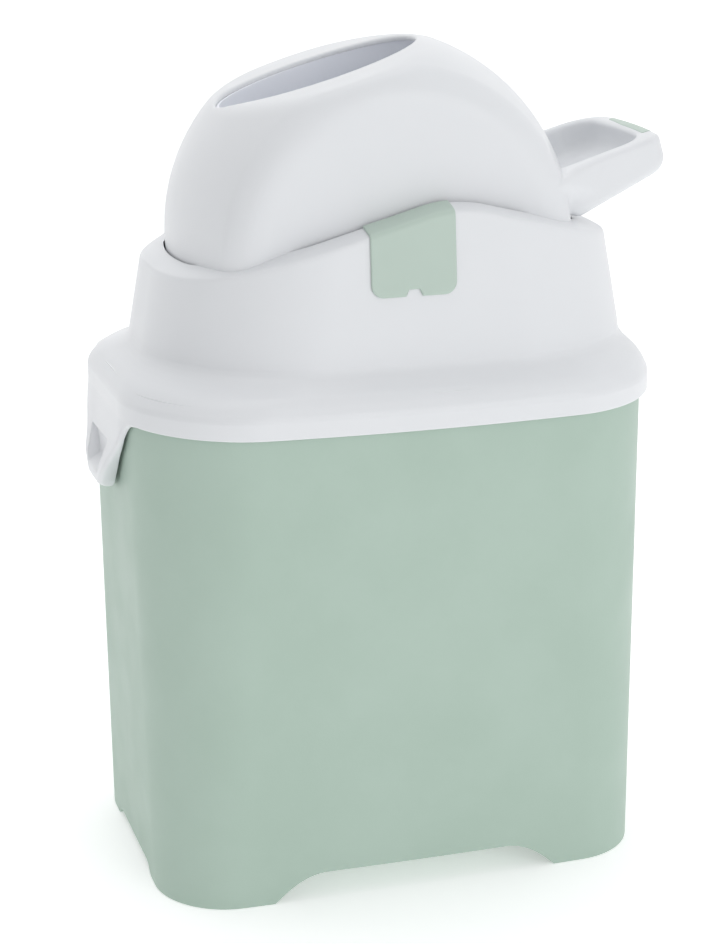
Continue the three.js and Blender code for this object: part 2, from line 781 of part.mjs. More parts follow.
function drumHollow() {
  const inner = drumCut - drumLip;
  return drumSlice(-drumWall, -inner, inner);
}

function inlayStrip(gap, bottom, top) {
  const outer = handleBlock(bottom, top, inlayInset - gap);
  const inner = handleBlock(bottom - overrun, top + overrun, inlayInset + inlayWidth + gap);
  const [near, half] = [handleReach - handleRim - handleCorner, inlayHalf + gap];
  const window = block(near, drumReach, -half, half, bottom, top);
  return outer.subtract(inner).intersect(window);
}

function makeDrumShell() {
  const grip = handleBlock(-drumSplit, handleFace, 0).intersect(handleUnder(0));
  const tray = handleBlock(-drumSplit, handleFace + overrun, handleRim).intersect(handleUnder(trayFloor));
  const mouth = ellipseSlab(mouthHalfLength, mouthHalfWidth, -drumCut - overrun, drumCut + overrun);
  const axleHole = rod('y', axleRadius + seatGap, -drumReach, drumReach, 0, 0);
  return drumSlice(0, -drumSplit, drumCut).add(grip.subtract(tray.subtract(drumBody(0, 0, 0))))
    .subtract(drumHollow()).subtract(mouth).subtract(axleHole)
    .subtract(inlayStrip(seatGap, handleFace - inlayDepth, handleFace + overrun));
}

function makeDrumCap() {
  const mouth = ellipseSlab(mouthHalfLength, mouthHalfWidth, -drumCut - overrun, drumCut);
  return drumSlice(0, -drumCut, -drumSplit - seatGap).subtract(drumHollow()).subtract(mouth);
}

const tubeEnd = drumCut - drumLip - seatGap;
const boreHalfLength = mouthHalfLength + tubeWiden;
const boreHalfWidth = mouthHalfWidth + tubeWiden;

function makeTube() {
  return ellipseSlab(boreHalfLength + tubeWall, boreHalfWidth + tubeWall, -tubeEnd, tubeEnd)
    .subtract(ellipseSlab(boreHalfLength, boreHalfWidth, -tubeEnd - overrun, tubeEnd + overrun));
}

// An axle with a flange inside the drum's wall, held by a screw from inside the drum
function makeAxle(side) {
  const inside = drumHalfDepth - drumWall - seatGap;
  const start = inside - axleFlangeThickness;
  const body = turned('y', [
    [0, start], [axleFlange, start], [axleFlange, inside],
    [axleRadius, inside], [axleRadius, bearingFar - seatGap], [0, bearingFar - seatGap],
  ].map(([r, y]) => [r, side * y]), 0, 0);
  const [from, to] = span(side, start - overrun, start + axleScrewLength);
  return body.subtract(rod('y', axleScrewRadius + seatGap, from, to, 0, 0, 12));
}

function makeAxleScrew(side) {
  const seat = drumHalfDepth - drumWall - axleFlangeThickness - 2 * seatGap;
  const end = seat + axleScrewLength - overrun;
  return turned('y', [
    [0, seat - axleScrewHeadLength], [axleScrewHead * Math.SQRT1_2, seat - axleScrewHeadLength],
    [axleScrewHead, seat - axleScrewHeadLength / 2], [axleScrewHead, seat], [axleScrewRadius, seat],
    [axleScrewRadius, end], [0, end],
  ].map(([r, y]) => [r, side * y]), 0, 0, 12);
}

// Piston, centred on its own middle, in the drum's frame
const pistonLength = boreHalfLength - pistonGap;
const pistonWidth = boreHalfWidth - pistonGap;

function makePistonCup(side) {
  const groove = pistonFlange + sealRingHeight + 2 * seatGap;
  const [flangeFrom, grooveTo] = [pistonHalf - pistonFlange, pistonHalf - groove];
  const inner = pistonHalf - pistonFlange / 2;
  const flange = ellipseSlab(pistonLength, pistonWidth, flangeFrom, pistonHalf);
  const [coreLength, coreWidth] = [pistonLength - pistonGroove, pistonWidth - pistonGroove];
  const core = ellipseSlab(coreLength, coreWidth, seatGap / 2, inner);
  const belt = ellipseSlab(pistonLength, pistonWidth, seatGap / 2, grooveTo);
  const inset = pistonGroove + pistonWall;
  const hollow = ellipseSlab(pistonLength - inset, pistonWidth - inset, -overrun, flangeFrom);
  const recess = rod('z', boltRecess, -pistonHalf - overrun, -inner, 0, 0);
  const hole = rod('z', boltRadius + seatGap, -pistonHalf - overrun, overrun, 0, 0, 16);
  const cup = flange.add(core).add(belt).subtract(hollow).rotate([180, 0, 0]).subtract(recess).subtract(hole);
  return side < 0 ? cup : cup.rotate([180, 0, 0]);
}

function makePistonSeal(side) {
  const inset = pistonGroove - seatGap;
  const top = pistonHalf - pistonFlange - seatGap;
  const bottom = top - sealRingHeight;
  const hole = ellipseSlab(pistonLength - inset, pistonWidth - inset, bottom - overrun, top + overrun);
  const [length, width] = [boreHalfLength - sealRingGap, boreHalfWidth - sealRingGap];
  const body = ellipseSlab(length, width, bottom, top).subtract(hole);
  return side > 0 ? body : body.rotate([180, 0, 0]);
}

function makePistonWeight() {
  const bottom = -pistonHalf + pistonFlange + seatGap;
  const top = bottom + weightHeight;
  const bore = rod('z', boltRadius + seatGap, bottom - overrun, top + overrun, 0, 0, 16);
  return ellipseSlab(pistonLength - weightInset, pistonWidth - weightInset, bottom, top).subtract(bore);
}

// A bolt through both cups, with a head at one end and a nut plate at the other
function makePistonBolt() {
  const seat = pistonHalf - pistonFlange / 2 + seatGap;
  const end = seat + boltHeadLength / 2;
  const profile = [
    [0, -end], [boltHead, -end], [boltHead, -seat], [boltRadius, -seat],
    [boltRadius, seat], [boltHead, seat], [boltHead, end], [0, end],
  ];
  return turned('z', profile, 0, 0, 16);
}

// Scene graph: the container, the lid on it, the drum in the lid and the piston in the drum
const bin = new THREE.Group();
const drum = new THREE.Group();
const piston = new THREE.Group();
const fitted = new THREE.Group();

fitted.add(toMesh('container', makeContainer(), sageGreen));
fitted.add(toMesh('bag_ring', makeBagRing(), greyPlastic));
fitted.add(toMesh('hinge_pin', makeHingePin(), steel));
fitted.add(toMesh('lid_housing', makeLidHousing(), whiteGloss));
fitted.add(toMesh('lid_gasket', makeGasket(), paleRubber));
fitted.add(toMesh('drum_cradle', makeCradle(), greyPlastic));
fitted.add(toMesh('drum_seal', makeDrumSeal(), darkRubber));
screwPlaces().forEach(([x, y], i) => {
  fitted.add(toMesh(`cradle_screw_${i + 1}`, makeCradleScrew(x, y), steel));
});
for (const [side, place] of [[-1, 'front'], [1, 'back']]) {
  fitted.add(toMesh(`axle_bush_${place}`, makeBush(side), greyPlastic));
  fitted.add(toMesh(`axle_clip_${place}`, makeClip(side), sageGloss));
  drum.add(toMesh(`axle_${place}`, makeAxle(side), whiteInner));
  drum.add(toMesh(`axle_screw_${place}`, makeAxleScrew(side), steel));
  piston.add(toMesh(`piston_cup_${side < 0 ? 'lower' : 'upper'}`, makePistonCup(side), whiteInner));
  piston.add(toMesh(`piston_seal_${side < 0 ? 'lower' : 'upper'}`, makePistonSeal(side), darkRubber));
}
drum.add(toMesh('drum_shell', makeDrumShell(), whiteGloss));
drum.add(toMesh('drum_cap', makeDrumCap(), whiteGloss));
drum.add(toMesh('drum_tube', makeTube(), whiteInner));
const inlay = inlayStrip(0, handleFace - inlayDepth + seatGap, handleFace + inlayProud);
drum.add(toMesh('handle_inlay', inlay, sageGloss));
piston.add(toMesh('piston_weight', makePistonWeight(), castIron));
piston.add(toMesh('piston_bolt', makePistonBolt(), steel));

piston.position.z = -tubeEnd + pistonHalf;
drum.add(piston);
drum.rotation.y = -drumTilt;
drum.position.set(pivotShift, 0, pivotHeight);
fitted.add(drum);
bin.add(fitted);

// The whole stands with its middle over the origin
const extent = new THREE.Box3().setFromObject(bin, true);
fitted.position.x = -(extent.min.x + extent.max.x) / 2;

export default bin;
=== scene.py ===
import math

import bmesh
import bpy
import numpy as np
from mathutils import Matrix, Vector


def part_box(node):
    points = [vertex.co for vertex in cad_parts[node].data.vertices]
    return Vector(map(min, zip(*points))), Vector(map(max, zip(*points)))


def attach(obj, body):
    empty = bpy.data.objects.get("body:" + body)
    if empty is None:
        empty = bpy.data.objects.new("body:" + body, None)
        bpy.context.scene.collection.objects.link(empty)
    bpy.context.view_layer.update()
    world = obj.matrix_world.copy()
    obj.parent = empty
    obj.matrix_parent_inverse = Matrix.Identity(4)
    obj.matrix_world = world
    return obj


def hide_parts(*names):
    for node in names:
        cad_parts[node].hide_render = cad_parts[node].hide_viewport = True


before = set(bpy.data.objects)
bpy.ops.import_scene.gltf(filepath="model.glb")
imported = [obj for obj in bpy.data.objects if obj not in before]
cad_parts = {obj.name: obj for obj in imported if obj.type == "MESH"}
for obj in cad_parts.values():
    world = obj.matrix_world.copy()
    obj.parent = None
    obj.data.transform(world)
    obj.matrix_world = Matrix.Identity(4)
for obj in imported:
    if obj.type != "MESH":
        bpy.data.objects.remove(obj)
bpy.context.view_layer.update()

# Sizes in millimetres, from the container's middle on the floor. Most are the CAD's. The foot's corner and
# some of the drum's are set for the looks.
# An outline is half width, half depth, corner radius and bow of the long sides.
RIM = np.array([179.45, 122.2, 74.2, 14.0])
FOOT = np.array([173.0, 118.0, 50.0, 3.5])
NECK = np.array([166.0, 116.0, 101.0, 0.0])
NECK_LEAN = np.array([0.17, 0.09, 0.04, 0.0])
OVERHANG = 4.2
SKIRT = RIM + [OVERHANG, OVERHANG, OVERHANG, 0]
RIM_Z, SKIRT_Z, NECK_Z, RING_Z, RIDGE_Z = 335.0, 327.3, 367.0, 421.3, 467.0
RIDGE_X, NECK_SHIFT, LID_WALL = 31.0, 7.3, 2.6
HINGE_X, HINGE_Z, HINGE_R, HINGE_BORE = 189.45, 321.0, 5.0, 2.5
PIVOT_X, PIVOT_Z, TILT = 1.5, 432.0, math.radians(16.2)
DRUM_R, DRUM_HALF, DRUM_CUT, DRUM_GAP, DRUM_WALL = 135.0, 92.0, 113.5, 1.2, 3.6
MOUTH, MOUTH_MIDDLE = (70.5, 46.0), (-2.4, 2.8)
BORE, BORE_WALL, LINER_HALF = (71.3, 48.5), 2.0, 110.3

# How far the container's ends and the skirt's left end stand inside their outlines
BODY_PULL, END_PULL = 1.2, 1.2

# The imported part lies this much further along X
pin_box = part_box("hinge_pin")
PART_SHIFT = 500 * (pin_box[0][0] + pin_box[1][0]) - HINGE_X

# Edges that turn by more degrees than this stay sharp: in general, on the drum and on the clips
SHARP, SHARP_DRUM, SHARP_CLIP = 35, 40, 50


# Shapes of distances

def smooth_step(low, high, value):
    t = np.clip((value - low) / (high - low), 0, 1)
    return t * t * (3 - 2 * t)


def smooth_max(a, b, k):
    h = np.maximum(k - np.abs(a - b), 0) / k
    return np.maximum(a, b) + h * h * k / 4


def smooth_min(a, b, k):
    return -smooth_max(-a, -b, k)


def round_max(a, b, radius):
    """The larger of two distances, with an arc of this radius where they meet."""
    return (np.minimum(np.maximum(a, b), -radius)
            + np.hypot(np.maximum(a + radius, 0), np.maximum(b + radius, 0)))


def spline(points, value):
    """Smooth curve through the given places (monotone cubic)."""
    x, y = np.array(points, float).T
    step, slope = np.diff(x), np.diff(y) / np.diff(x)
    before, after = slope[:-1], slope[1:]
    same_way = before * after > 0
    before, after = np.where(same_way, before, 1), np.where(same_way, after, 1)
    grade = np.concatenate([slope[:1], np.where(same_way, 2 / (1 / after + 1 / before), 0), slope[-1:]])
    k = np.clip(np.searchsorted(x, value, side="right") - 1, 0, len(step) - 1)
    t = np.clip((value - x[k]) / step[k], 0, 1)
    h = step[k]
    return ((1 + 2 * t) * (1 - t) ** 2 * y[k] + t * (1 - t) ** 2 * h * grade[k]
            + t * t * (3 - 2 * t) * y[k + 1] + t * t * (t - 1) * h * grade[k + 1])


def corner_cut(points, times):
    """Smooths a line by cutting its corners, with its ends kept."""
    points = np.array(points, float)
    for _ in range(times):
        a, b = points[:-1], points[1:]
        cut = np.stack([a * 0.75 + b * 0.25, a * 0.25 + b * 0.75], 1).reshape(-1, 2)
        points = np.concatenate([points[:1], cut, points[-1:]])
    return points


# Meshes

def unit(vectors):
    return vectors / np.maximum(np.linalg.norm(vectors, axis=1, keepdims=True), 1e-9)


def place_in_scene(name, data):
    made = bpy.data.objects.new(name, data)
    bpy.context.scene.collection.objects.link(made)
    return made


def add_piece(name, points, faces):
    """An object from points in millimetres and lists of corners."""
    mesh = bpy.data.meshes.new(name)
    mesh.from_pydata(((points + [PART_SHIFT, 0, 0]) / 1000).tolist(), [], faces)
    mesh.validate()
    return place_in_scene(name, mesh)


def shade(mesh, sharp):
    mesh.shade_smooth()
    mesh.set_sharp_from_angle(angle=math.radians(sharp))


def quad_object(name, points, faces, sharp=SHARP):
    """A closed mesh of quads as a piece, with its faces turned outwards."""
    a, b, c, d = (points[faces[:, k]] for k in range(4))
    volume = np.einsum("ij,ij->", a, np.cross(b, c)) + np.einsum("ij,ij->", a, np.cross(c, d))
    if volume < 0:
        faces = faces[:, ::-1]
    piece = add_piece(name, points, faces.tolist())
    shade(piece.data, sharp)
    return piece


def grid_faces(rows, columns, wrap_rows=False, wrap_columns=True):
    r = np.arange(rows if wrap_rows else rows - 1)
    c = np.arange(columns if wrap_columns else columns - 1)
    r, c = np.meshgrid(r, c, indexing="ij")
    r2, c2 = (r + 1) % rows, (c + 1) % columns
    quads = [r * columns + c, r * columns + c2, r2 * columns + c2, r2 * columns + c]
    return np.stack(quads, -1).reshape(-1, 4)


def join(parts):
    """Point and face arrays of several closed shells as one."""
    points, faces, count = [], [], 0
    for p, f in parts:
        points.append(p)
        faces.append(f + count)
        count += len(p)
    return np.concatenate(points), np.concatenate(faces)


def clean(faces):
    """Quads with a doubled corner become what they are, triangles, as lists."""
    return [list(dict.fromkeys(face)) for face in faces.tolist()]


def shell_object(name, parts, sharp=SHARP):
    """Closed shells, some with fans of doubled corners, as one piece."""
    points, faces = join(parts)
    piece = add_piece(name, points, clean(faces))
    work = bmesh.new()
    work.from_mesh(piece.data)
    bmesh.ops.recalc_face_normals(work, faces=work.faces)
    work.to_mesh(piece.data)
    work.free()
    shade(piece.data, sharp)
    return piece


def solid_cut(piece, cutters):
    """Takes closed meshes out of a piece."""
    for cutter in cutters:
        change = piece.modifiers.new("cut", "BOOLEAN")
        change.operation, change.solver, change.object = "DIFFERENCE", "EXACT", cutter
    graph = bpy.context.evaluated_depsgraph_get()
    mesh = bpy.data.meshes.new_from_object(piece.evaluated_get(graph))
    piece.modifiers.clear()
    piece.data = mesh
    shade(mesh, SHARP)
    for cutter in cutters:
        bpy.data.objects.remove(cutter)


def rounding(radius, steps=3):
    """Distances inwards and along for a quarter round, from the end face to the side."""
    return [(radius * (1 - math.sin(turn)), radius * (1 - math.cos(turn)))
            for turn in np.linspace(0, math.pi / 2, steps + 1)]


def prism(outline, start, end, edge=0.0):
    """An X-Z profile carried along Y, with rounded end edges."""
    outline = np.asarray(outline, float)
    n = len(outline)
    following, previous = np.roll(outline, -1, 0), np.roll(outline, 1, 0)
    ahead, behind = unit(following - outline), unit(outline - previous)
    middle = ahead + behind
    normal = np.stack([middle[:, 1], -middle[:, 0]], 1)
    lean = (normal * np.stack([ahead[:, 1], -ahead[:, 0]], 1)).sum(1, keepdims=True)
    # Corners sharper than this cosine get no longer inset
    normal /= np.maximum(lean, 0.35)
    area = (outline[:, 0] * following[:, 1] - following[:, 0] * outline[:, 1]).sum()
    if area < 0:
        normal = -normal
    near = [(outline - normal * inset, start + along) for inset, along in rounding(edge)]
    far = [(outline - normal * inset, end - along) for inset, along in rounding(edge)]
    rows = near + far[::-1]
    points = [np.column_stack([flat[:, 0], np.full(n, along), flat[:, 1]]) for flat, along in rows]
    stack = np.concatenate(points + [points[0].mean(0, keepdims=True), points[-1].mean(0, keepdims=True)])
    k, last = np.arange(n), (len(points) - 1) * n
    low_middle, high_middle = np.full(n, len(stack) - 2), np.full(n, len(stack) - 1)
    low = np.stack([k, (k + 1) % n, low_middle, low_middle], 1)
    high = np.stack([last + (k + 1) % n, last + k, high_middle, high_middle], 1)
    return stack, np.concatenate([grid_faces(len(points), n), low, high])


def ellipse(half_x, half_y, steps, middle=(0, 0)):
    turn = np.arange(steps) * 2 * math.pi / steps
    return np.stack([middle[0] + half_x * np.cos(turn), middle[1] + half_y * np.sin(turn)], 1)


def arc(middle, radius, start, end, steps):
    turn = np.linspace(start, end, steps + 1)
    return np.stack([middle[0] + radius * np.cos(turn), middle[1] + radius * np.sin(turn)], 1)


def tube(outer, inner, bottom, top, edge):
    """A pipe standing on Z between two rings of points, with rounded edges."""
    out = (outer - inner) / np.linalg.norm(outer - inner, axis=1, keepdims=True)
    turns = rounding(edge)
    rows = [(outer - out * inset, bottom + up) for inset, up in turns]
    rows += [(outer - out * inset, top - down) for inset, down in turns[::-1]]
    rows += [(inner + out * inset, top - down) for inset, down in turns]
    rows += [(inner + out * inset, bottom + up) for inset, up in turns[::-1]]
    points = [np.column_stack([flat, np.full(len(flat), z)]) for flat, z in rows]
    return np.concatenate(points), grid_faces(len(points), len(outer), wrap_rows=True)


# Outlines

class Stations:
    """Places round an outline, from the left end's middle along the front to the right end, and back.

    They lie on five stretches: left end, corner, long side, corner and right end. Each stretch is
    given as the shares of its length at which it has stations.
    """

    def __init__(self, *stretches):
        kind = np.concatenate([np.full(len(stretch), k) for k, stretch in enumerate(stretches)])
        share = np.concatenate(stretches)
        kind = np.concatenate([kind, [4], kind[:0:-1]])
        self.sign = np.concatenate([np.ones(len(share)), [1], -np.ones(len(share) - 1)])
        self.share = np.concatenate([share, [1.0], share[:0:-1]])
        self.turn = math.pi * (np.where(kind == 1, 1, 1.5) + self.share / 2)
        self.stretch = [kind == k for k in range(5)]

    def __len__(self):
        return len(self.share)

    def place(self, outline):
        """X and Y of every station, for one outline or for each station's own."""
        width, depth, corner, bow = (np.asarray(outline, float)[..., k] for k in range(4))
        cx, cy, t = width - corner, depth - corner, self.share
        cos, sin = corner * np.cos(self.turn), corner * np.sin(self.turn)
        x = np.select(self.stretch, [-width, -cx + cos, -cx + 2 * cx * t, cx + cos, width])
        y = np.select(self.stretch, [-cy * t, -cy + sin, -depth, -cy + sin, -cy * (1 - t)])
        y = y + bow * (1 - (x / width) ** 2) * (y / depth)
        return x, y * self.sign

    def normal(self):
        """The outward direction of every station."""
        cos, sin = np.cos(self.turn), np.sin(self.turn)
        nx = np.select(self.stretch, [-1, cos, 0, cos, 1])
        ny = np.select(self.stretch, [0, sin, -1, sin, 0])
        return nx, ny * self.sign


def shares(count):
    return np.arange(count) / count


def grow(outline, by):
    return np.asarray(outline) + np.asarray(by)[..., None] * np.array([1, 1, 1, 0])


def body_outline(z, inset):
    """The container's outline at a height, or at each station's own height, moved inwards."""
    share = np.asarray(z)[..., None] / RIM_Z
    return grow(FOOT + (RIM - FOOT) * share - [BODY_PULL, 0, 0, 0], -inset)


# Materials

# Noise as detail and roughness, or as scale, detail and roughness
CLOUD, FINE, PATCH, WAVE = (4.0, 0.55), (2.0, 0.6), (26.0, 2.0, 0.5), (4.5, 1.5, 0.4)
# Parts of the cloud and the patches that are used, and the polish as shares of the roughness
CLOUD_RANGE, PATCH_RANGE, POLISH = (0.3, 0.72), (0.3, 0.7), (0.9, 1.12)
GRAIN_IN_TONE, GRAIN_DEPTH, RIPPLE_DEPTH, PLASTIC_IOR = 0.35, 0.0004, 0.02, 1.46


def plastic(name, color, second, roughness, grain=0.02, grain_scale=1400.0, mottle=0.5, mottle_scale=9.0,
            metallic=0.0, ripple=0.015, specular=0.5):
    """Moulded plastic, rubber or metal: two close tones, fine grain, soft ripples and a patchy polish."""
    made = bpy.data.materials.new(name)
    made.use_nodes = True
    nodes, links = made.node_tree.nodes, made.node_tree.links
    shader = nodes["Principled BSDF"]
    place = nodes.new("ShaderNodeTexCoord")

    def noise(scale, detail, rough):
        node = nodes.new("ShaderNodeTexNoise")
        node.inputs["Scale"].default_value = scale
        node.inputs["Detail"].default_value = detail
        node.inputs["Roughness"].default_value = rough
        links.new(place.outputs["Object"], node.inputs["Vector"])
        return node.outputs["Fac"]

    def stretch(source, low, high, to_low, to_high):
        node = nodes.new("ShaderNodeMapRange")
        node.interpolation_type = "SMOOTHSTEP"
        for slot, value in zip(("From Min", "From Max", "To Min", "To Max"), (low, high, to_low, to_high)):
            node.inputs[slot].default_value = value
        links.new(source, node.inputs["Value"])
        return node.outputs["Result"]

    def relief(height, strength, distance):
        node = nodes.new("ShaderNodeBump")
        node.inputs["Strength"].default_value = strength
        node.inputs["Distance"].default_value = distance
        links.new(height, node.inputs["Height"])
        return node

    # Tone
    cloud, fine = noise(mottle_scale, *CLOUD), noise(grain_scale, *FINE)
    spots = nodes.new("ShaderNodeMath")
    spots.operation = "MULTIPLY_ADD"
    links.new(fine, spots.inputs[0])
    spots.inputs[1].default_value = GRAIN_IN_TONE * mottle
    links.new(stretch(cloud, *CLOUD_RANGE, 0.0, mottle), spots.inputs[2])
    blend = nodes.new("ShaderNodeMix")
    blend.data_type = "RGBA"
    blend.inputs["A"].default_value = (*color, 1)
    blend.inputs["B"].default_value = (*second, 1)
    links.new(spots.outputs[0], blend.inputs["Factor"])
    links.new(blend.outputs["Result"], shader.inputs["Base Color"])

    # Polish
    least, most = (roughness * share for share in POLISH)
    links.new(stretch(noise(*PATCH), *PATCH_RANGE, least, most), shader.inputs["Roughness"])

    # Ripples and grain
    low = relief(noise(*WAVE), ripple, RIPPLE_DEPTH)
    bump = relief(fine, grain, GRAIN_DEPTH)
    links.new(low.outputs["Normal"], bump.inputs["Normal"])
    links.new(bump.outputs["Normal"], shader.inputs["Normal"])
    shader.inputs["Metallic"].default_value = metallic
    shader.inputs["IOR"].default_value = PLASTIC_IOR
    shader.inputs["Specular IOR Level"].default_value = specular
    return made


by_slot = {
    "white_gloss": plastic("white_plastic", (0.79, 0.80, 0.82), (0.765, 0.78, 0.80), 0.33,
                           grain_scale=520.0, specular=0.32),
    # Lighter and bluer than the white plastic: a painted shade tint, the lavender cast of the shade inside
    # the drum's tube, put into the colour of the parts in there
    "white_inner": plastic("inner_plastic_painted_shade_tint", (0.87, 0.89, 0.945), (0.845, 0.865, 0.92), 0.42,
                           grain=0.04, grain_scale=600.0),
    "sage_body": plastic("sage_plastic", (0.455, 0.57, 0.497), (0.43, 0.545, 0.47), 0.46,
                         grain=0.16, grain_scale=700.0, mottle=0.8, mottle_scale=14.0, specular=0.2),
    "sage_trim": plastic("sage_trim_plastic", (0.50, 0.60, 0.535), (0.48, 0.58, 0.515), 0.36, grain=0.05),
    "grey_plastic": plastic("grey_plastic", (0.48, 0.50, 0.52), (0.44, 0.46, 0.48), 0.5, grain=0.12),
    "pale_rubber": plastic("pale_rubber", (0.60, 0.62, 0.62), (0.55, 0.57, 0.57), 0.75, grain=0.25),
    "dark_rubber": plastic("dark_rubber", (0.085, 0.09, 0.095), (0.065, 0.07, 0.075), 0.8, grain=0.3),
    "steel": plastic("steel", (0.52, 0.53, 0.55), (0.46, 0.47, 0.49), 0.33, grain=0.08, metallic=1.0),
    "cast_iron": plastic("cast_iron", (0.17, 0.175, 0.18), (0.13, 0.135, 0.14), 0.62,
                         grain=0.5, grain_scale=500.0, metallic=0.8),
}


def dress(piece, slot, body, node):
    piece.data.materials.clear()
    piece.data.materials.append(by_slot[slot])
    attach(piece, body)
    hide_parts(node)


# Container

# Half length, height and length of the curve at each end of an arch, under the sides and the ends
ARCH_SIDE, ARCH_END = (101, 19.2, 36), (54, 7, 12)
# Stations further out than these lie on a long side, in Y, or on an end, in X
SIDE_FROM, END_FROM = 60, 120
BIN_WALL, FOOT_ROUND, LIP_ROUND, INNER_ROUND = 2.8, 1.1, 1.0, 0.4
FLOOR_TOP, FLOOR_LOW, FLOOR_EDGE, FLOOR_INSETS = 23, 20, 21.5, [6, 9, 60, 100]
LEDGE_TOP, LEDGE_SIDE, LEDGE_FLAT, LEDGE_DEPTH = 3.0, 2.6, 15.4, 16.0
# Stations on each stretch, and rows up the outside and down the inside
BIN_STATIONS, BIN_OUTSIDE, BIN_INSIDE, BIN_TURN = (26, 44, 80, 44, 26), 48, 24, 4


def arch(distance, half, height, curve):
    """Height of the arch's edge over the floor at a distance from its middle."""
    t = np.clip((half - np.abs(distance)) / curve, 0, 1)
    return height * (1 - (1 - t) ** 2)


def container_parts():
    ring = Stations(*map(shares, BIN_STATIONS))
    count = len(ring)
    foot_x, foot_y = ring.place(FOOT)
    edge = np.maximum(np.where(np.abs(foot_y) > SIDE_FROM, arch(foot_x, *ARCH_SIDE), 0),
                      np.where(np.abs(foot_x) > END_FROM, arch(foot_y, *ARCH_END), 0))

    def row(z, inset):
        z = np.broadcast_to(np.asarray(z, float), count)
        x, y = ring.place(body_outline(z, inset))
        return np.column_stack([x, y, z])

    low, high, lip = edge + FOOT_ROUND, RIM_Z - LIP_ROUND, rounding(LIP_ROUND, BIN_TURN)
    rows = [row(edge + up, inset) for inset, up in rounding(FOOT_ROUND, BIN_TURN)]
    rows += [row(z, 0) for z in np.linspace(low, high, BIN_OUTSIDE)[1:-1]]
    rows += [row(RIM_Z - down, inset) for inset, down in lip[::-1]]
    rows += [row(RIM_Z - down, BIN_WALL - inset) for inset, down in lip]
    rows += [row(z, BIN_WALL) for z in np.linspace(high, low, BIN_INSIDE)[1:-1]]
    rows += [row(edge + INNER_ROUND, BIN_WALL), row(edge, BIN_WALL - INNER_ROUND)]
    shell = (np.concatenate(rows), grid_faces(len(rows), count, wrap_rows=True))

    # The floor, a plate let into the wall
    rows = [row(FLOOR_EDGE, BIN_WALL / 2), row(FLOOR_TOP, BIN_WALL)]
    rows += [row(FLOOR_TOP, inset) for inset in FLOOR_INSETS]
    inner = (len(rows) - 1) * count
    rows += [row(FLOOR_LOW, inset) for inset in FLOOR_INSETS[::-1]] + [row(FLOOR_LOW, BIN_WALL)]
    quads = grid_faces(len(rows), count, wrap_rows=True)
    across = (quads.min(1) >= inner) & (quads.max(1) < inner + 2 * count)
    faces, k = [quads[~across]], np.arange(count // 2)
    for base in (inner, inner + count):
        back = [base + (count - k - 1) % count, base + (count - k) % count]
        faces.append(np.stack([base + k, base + k + 1] + back, 1))
    floor_plate = (np.concatenate(rows), np.concatenate(faces))

    # The foot ledges, inside the legs where no arch cuts them away
    legs = []
    keep = edge < LEDGE_SIDE
    for first in np.flatnonzero(keep & ~np.roll(keep, 1)):
        columns = int(np.argmin(np.roll(keep, -first)))
        run = (first + np.arange(columns)) % count
        section = [row(LEDGE_TOP, BIN_WALL - INNER_ROUND), row(LEDGE_TOP, LEDGE_FLAT),
                   row(LEDGE_SIDE, LEDGE_DEPTH), row(edge, LEDGE_DEPTH), row(edge, BIN_WALL - INNER_ROUND)]
        faces = [grid_faces(len(section), columns, wrap_rows=True, wrap_columns=False)]
        for column in (0, columns - 1):
            k = [r * columns + column for r in range(len(section))]
            faces.append(np.array([[k[0], k[1], k[2], k[3]], [k[0], k[3], k[4], k[4]]]))
        legs.append((np.concatenate([points[run] for points in section]), np.concatenate(faces)))
    return [shell, floor_plate] + legs


# Hinge: the lugs on the container and the knuckle of the lid between them
LUG_NEAR, LUG_FAR, KNUCKLE_HALF, HINGE_EDGE = 18.3, 26.3, 18.0, 0.8
LUG_ROOT, LUG_HALF, KNUCKLE_ROOT, KNUCKLE_LOW, KNUCKLE_TOP = 178.0, 4.2, 182.35, 4.8, 9.3
CUT_HALF = 30


def hinge_profile(left, below, above):
    nose = arc((HINGE_X, HINGE_Z), HINGE_R, -math.pi / 2, math.pi / 2, 18)
    return np.concatenate([[[left, HINGE_Z - below]], nose, [[left, HINGE_Z + above]]])


def hinge_bore():
    profile = ellipse(HINGE_BORE, HINGE_BORE, 32, (HINGE_X, HINGE_Z))
    return shell_object("bore", [prism(profile, -CUT_HALF, CUT_HALF)])


container = shell_object("container_shell", container_parts())
lug_profile = hinge_profile(LUG_ROOT, LUG_HALF, LUG_HALF)
lugs = shell_object("container_hinge_lugs", [prism(lug_profile, LUG_NEAR, LUG_FAR, HINGE_EDGE),
                                             prism(lug_profile, -LUG_FAR, -LUG_NEAR, HINGE_EDGE)])
solid_cut(lugs, [hinge_bore()])
for piece in (container, lugs):
    dress(piece, "sage_body", "container", "container")

# Bag ring

# The lip over the rim, as distance inside the rim's outline and height
RING_LIP = [(1.1, 335.3), (0.5, 335.6), (0.3, 336.2), (0.5, 337.2), (1.2, 337.7)]
# The band inside the wall: height of the outline that it follows, distance inside it, and own height
RING_BAND = [(337, 5.0, 337.7), (336.5, 5.6, 337.3), (335, 5.8, 336.4), (325, 5.8, 325), (312, 5.8, 311.2),
             (311, 5.4, 310.5), (311, 4.2, 310.3), (311, 3.6, 310.8), (312, 3.4, 312), (325, 3.4, 325),
             (334, 3.4, 334.6), (335, 3.2, 335.3)]
RING_STATIONS = (18, 36, 50, 36, 18)


def bag_ring_part():
    ring = Stations(*map(shares, RING_STATIONS))
    rows = [(grow(RIM, -inset), z) for inset, z in RING_LIP]
    rows += [(body_outline(level, inset), z) for level, inset, z in RING_BAND]
    points = [np.column_stack([*ring.place(outline), np.full(len(ring), z)]) for outline, z in rows]
    return np.concatenate(points), grid_faces(len(points), len(ring), wrap_rows=True)


bag_ring = shell_object("bag_ring_moulding", [bag_ring_part()])
dress(bag_ring, "grey_plastic", "container", "bag_ring")

# The drum's surface and the neck's top edge, which the lid and the clips follow

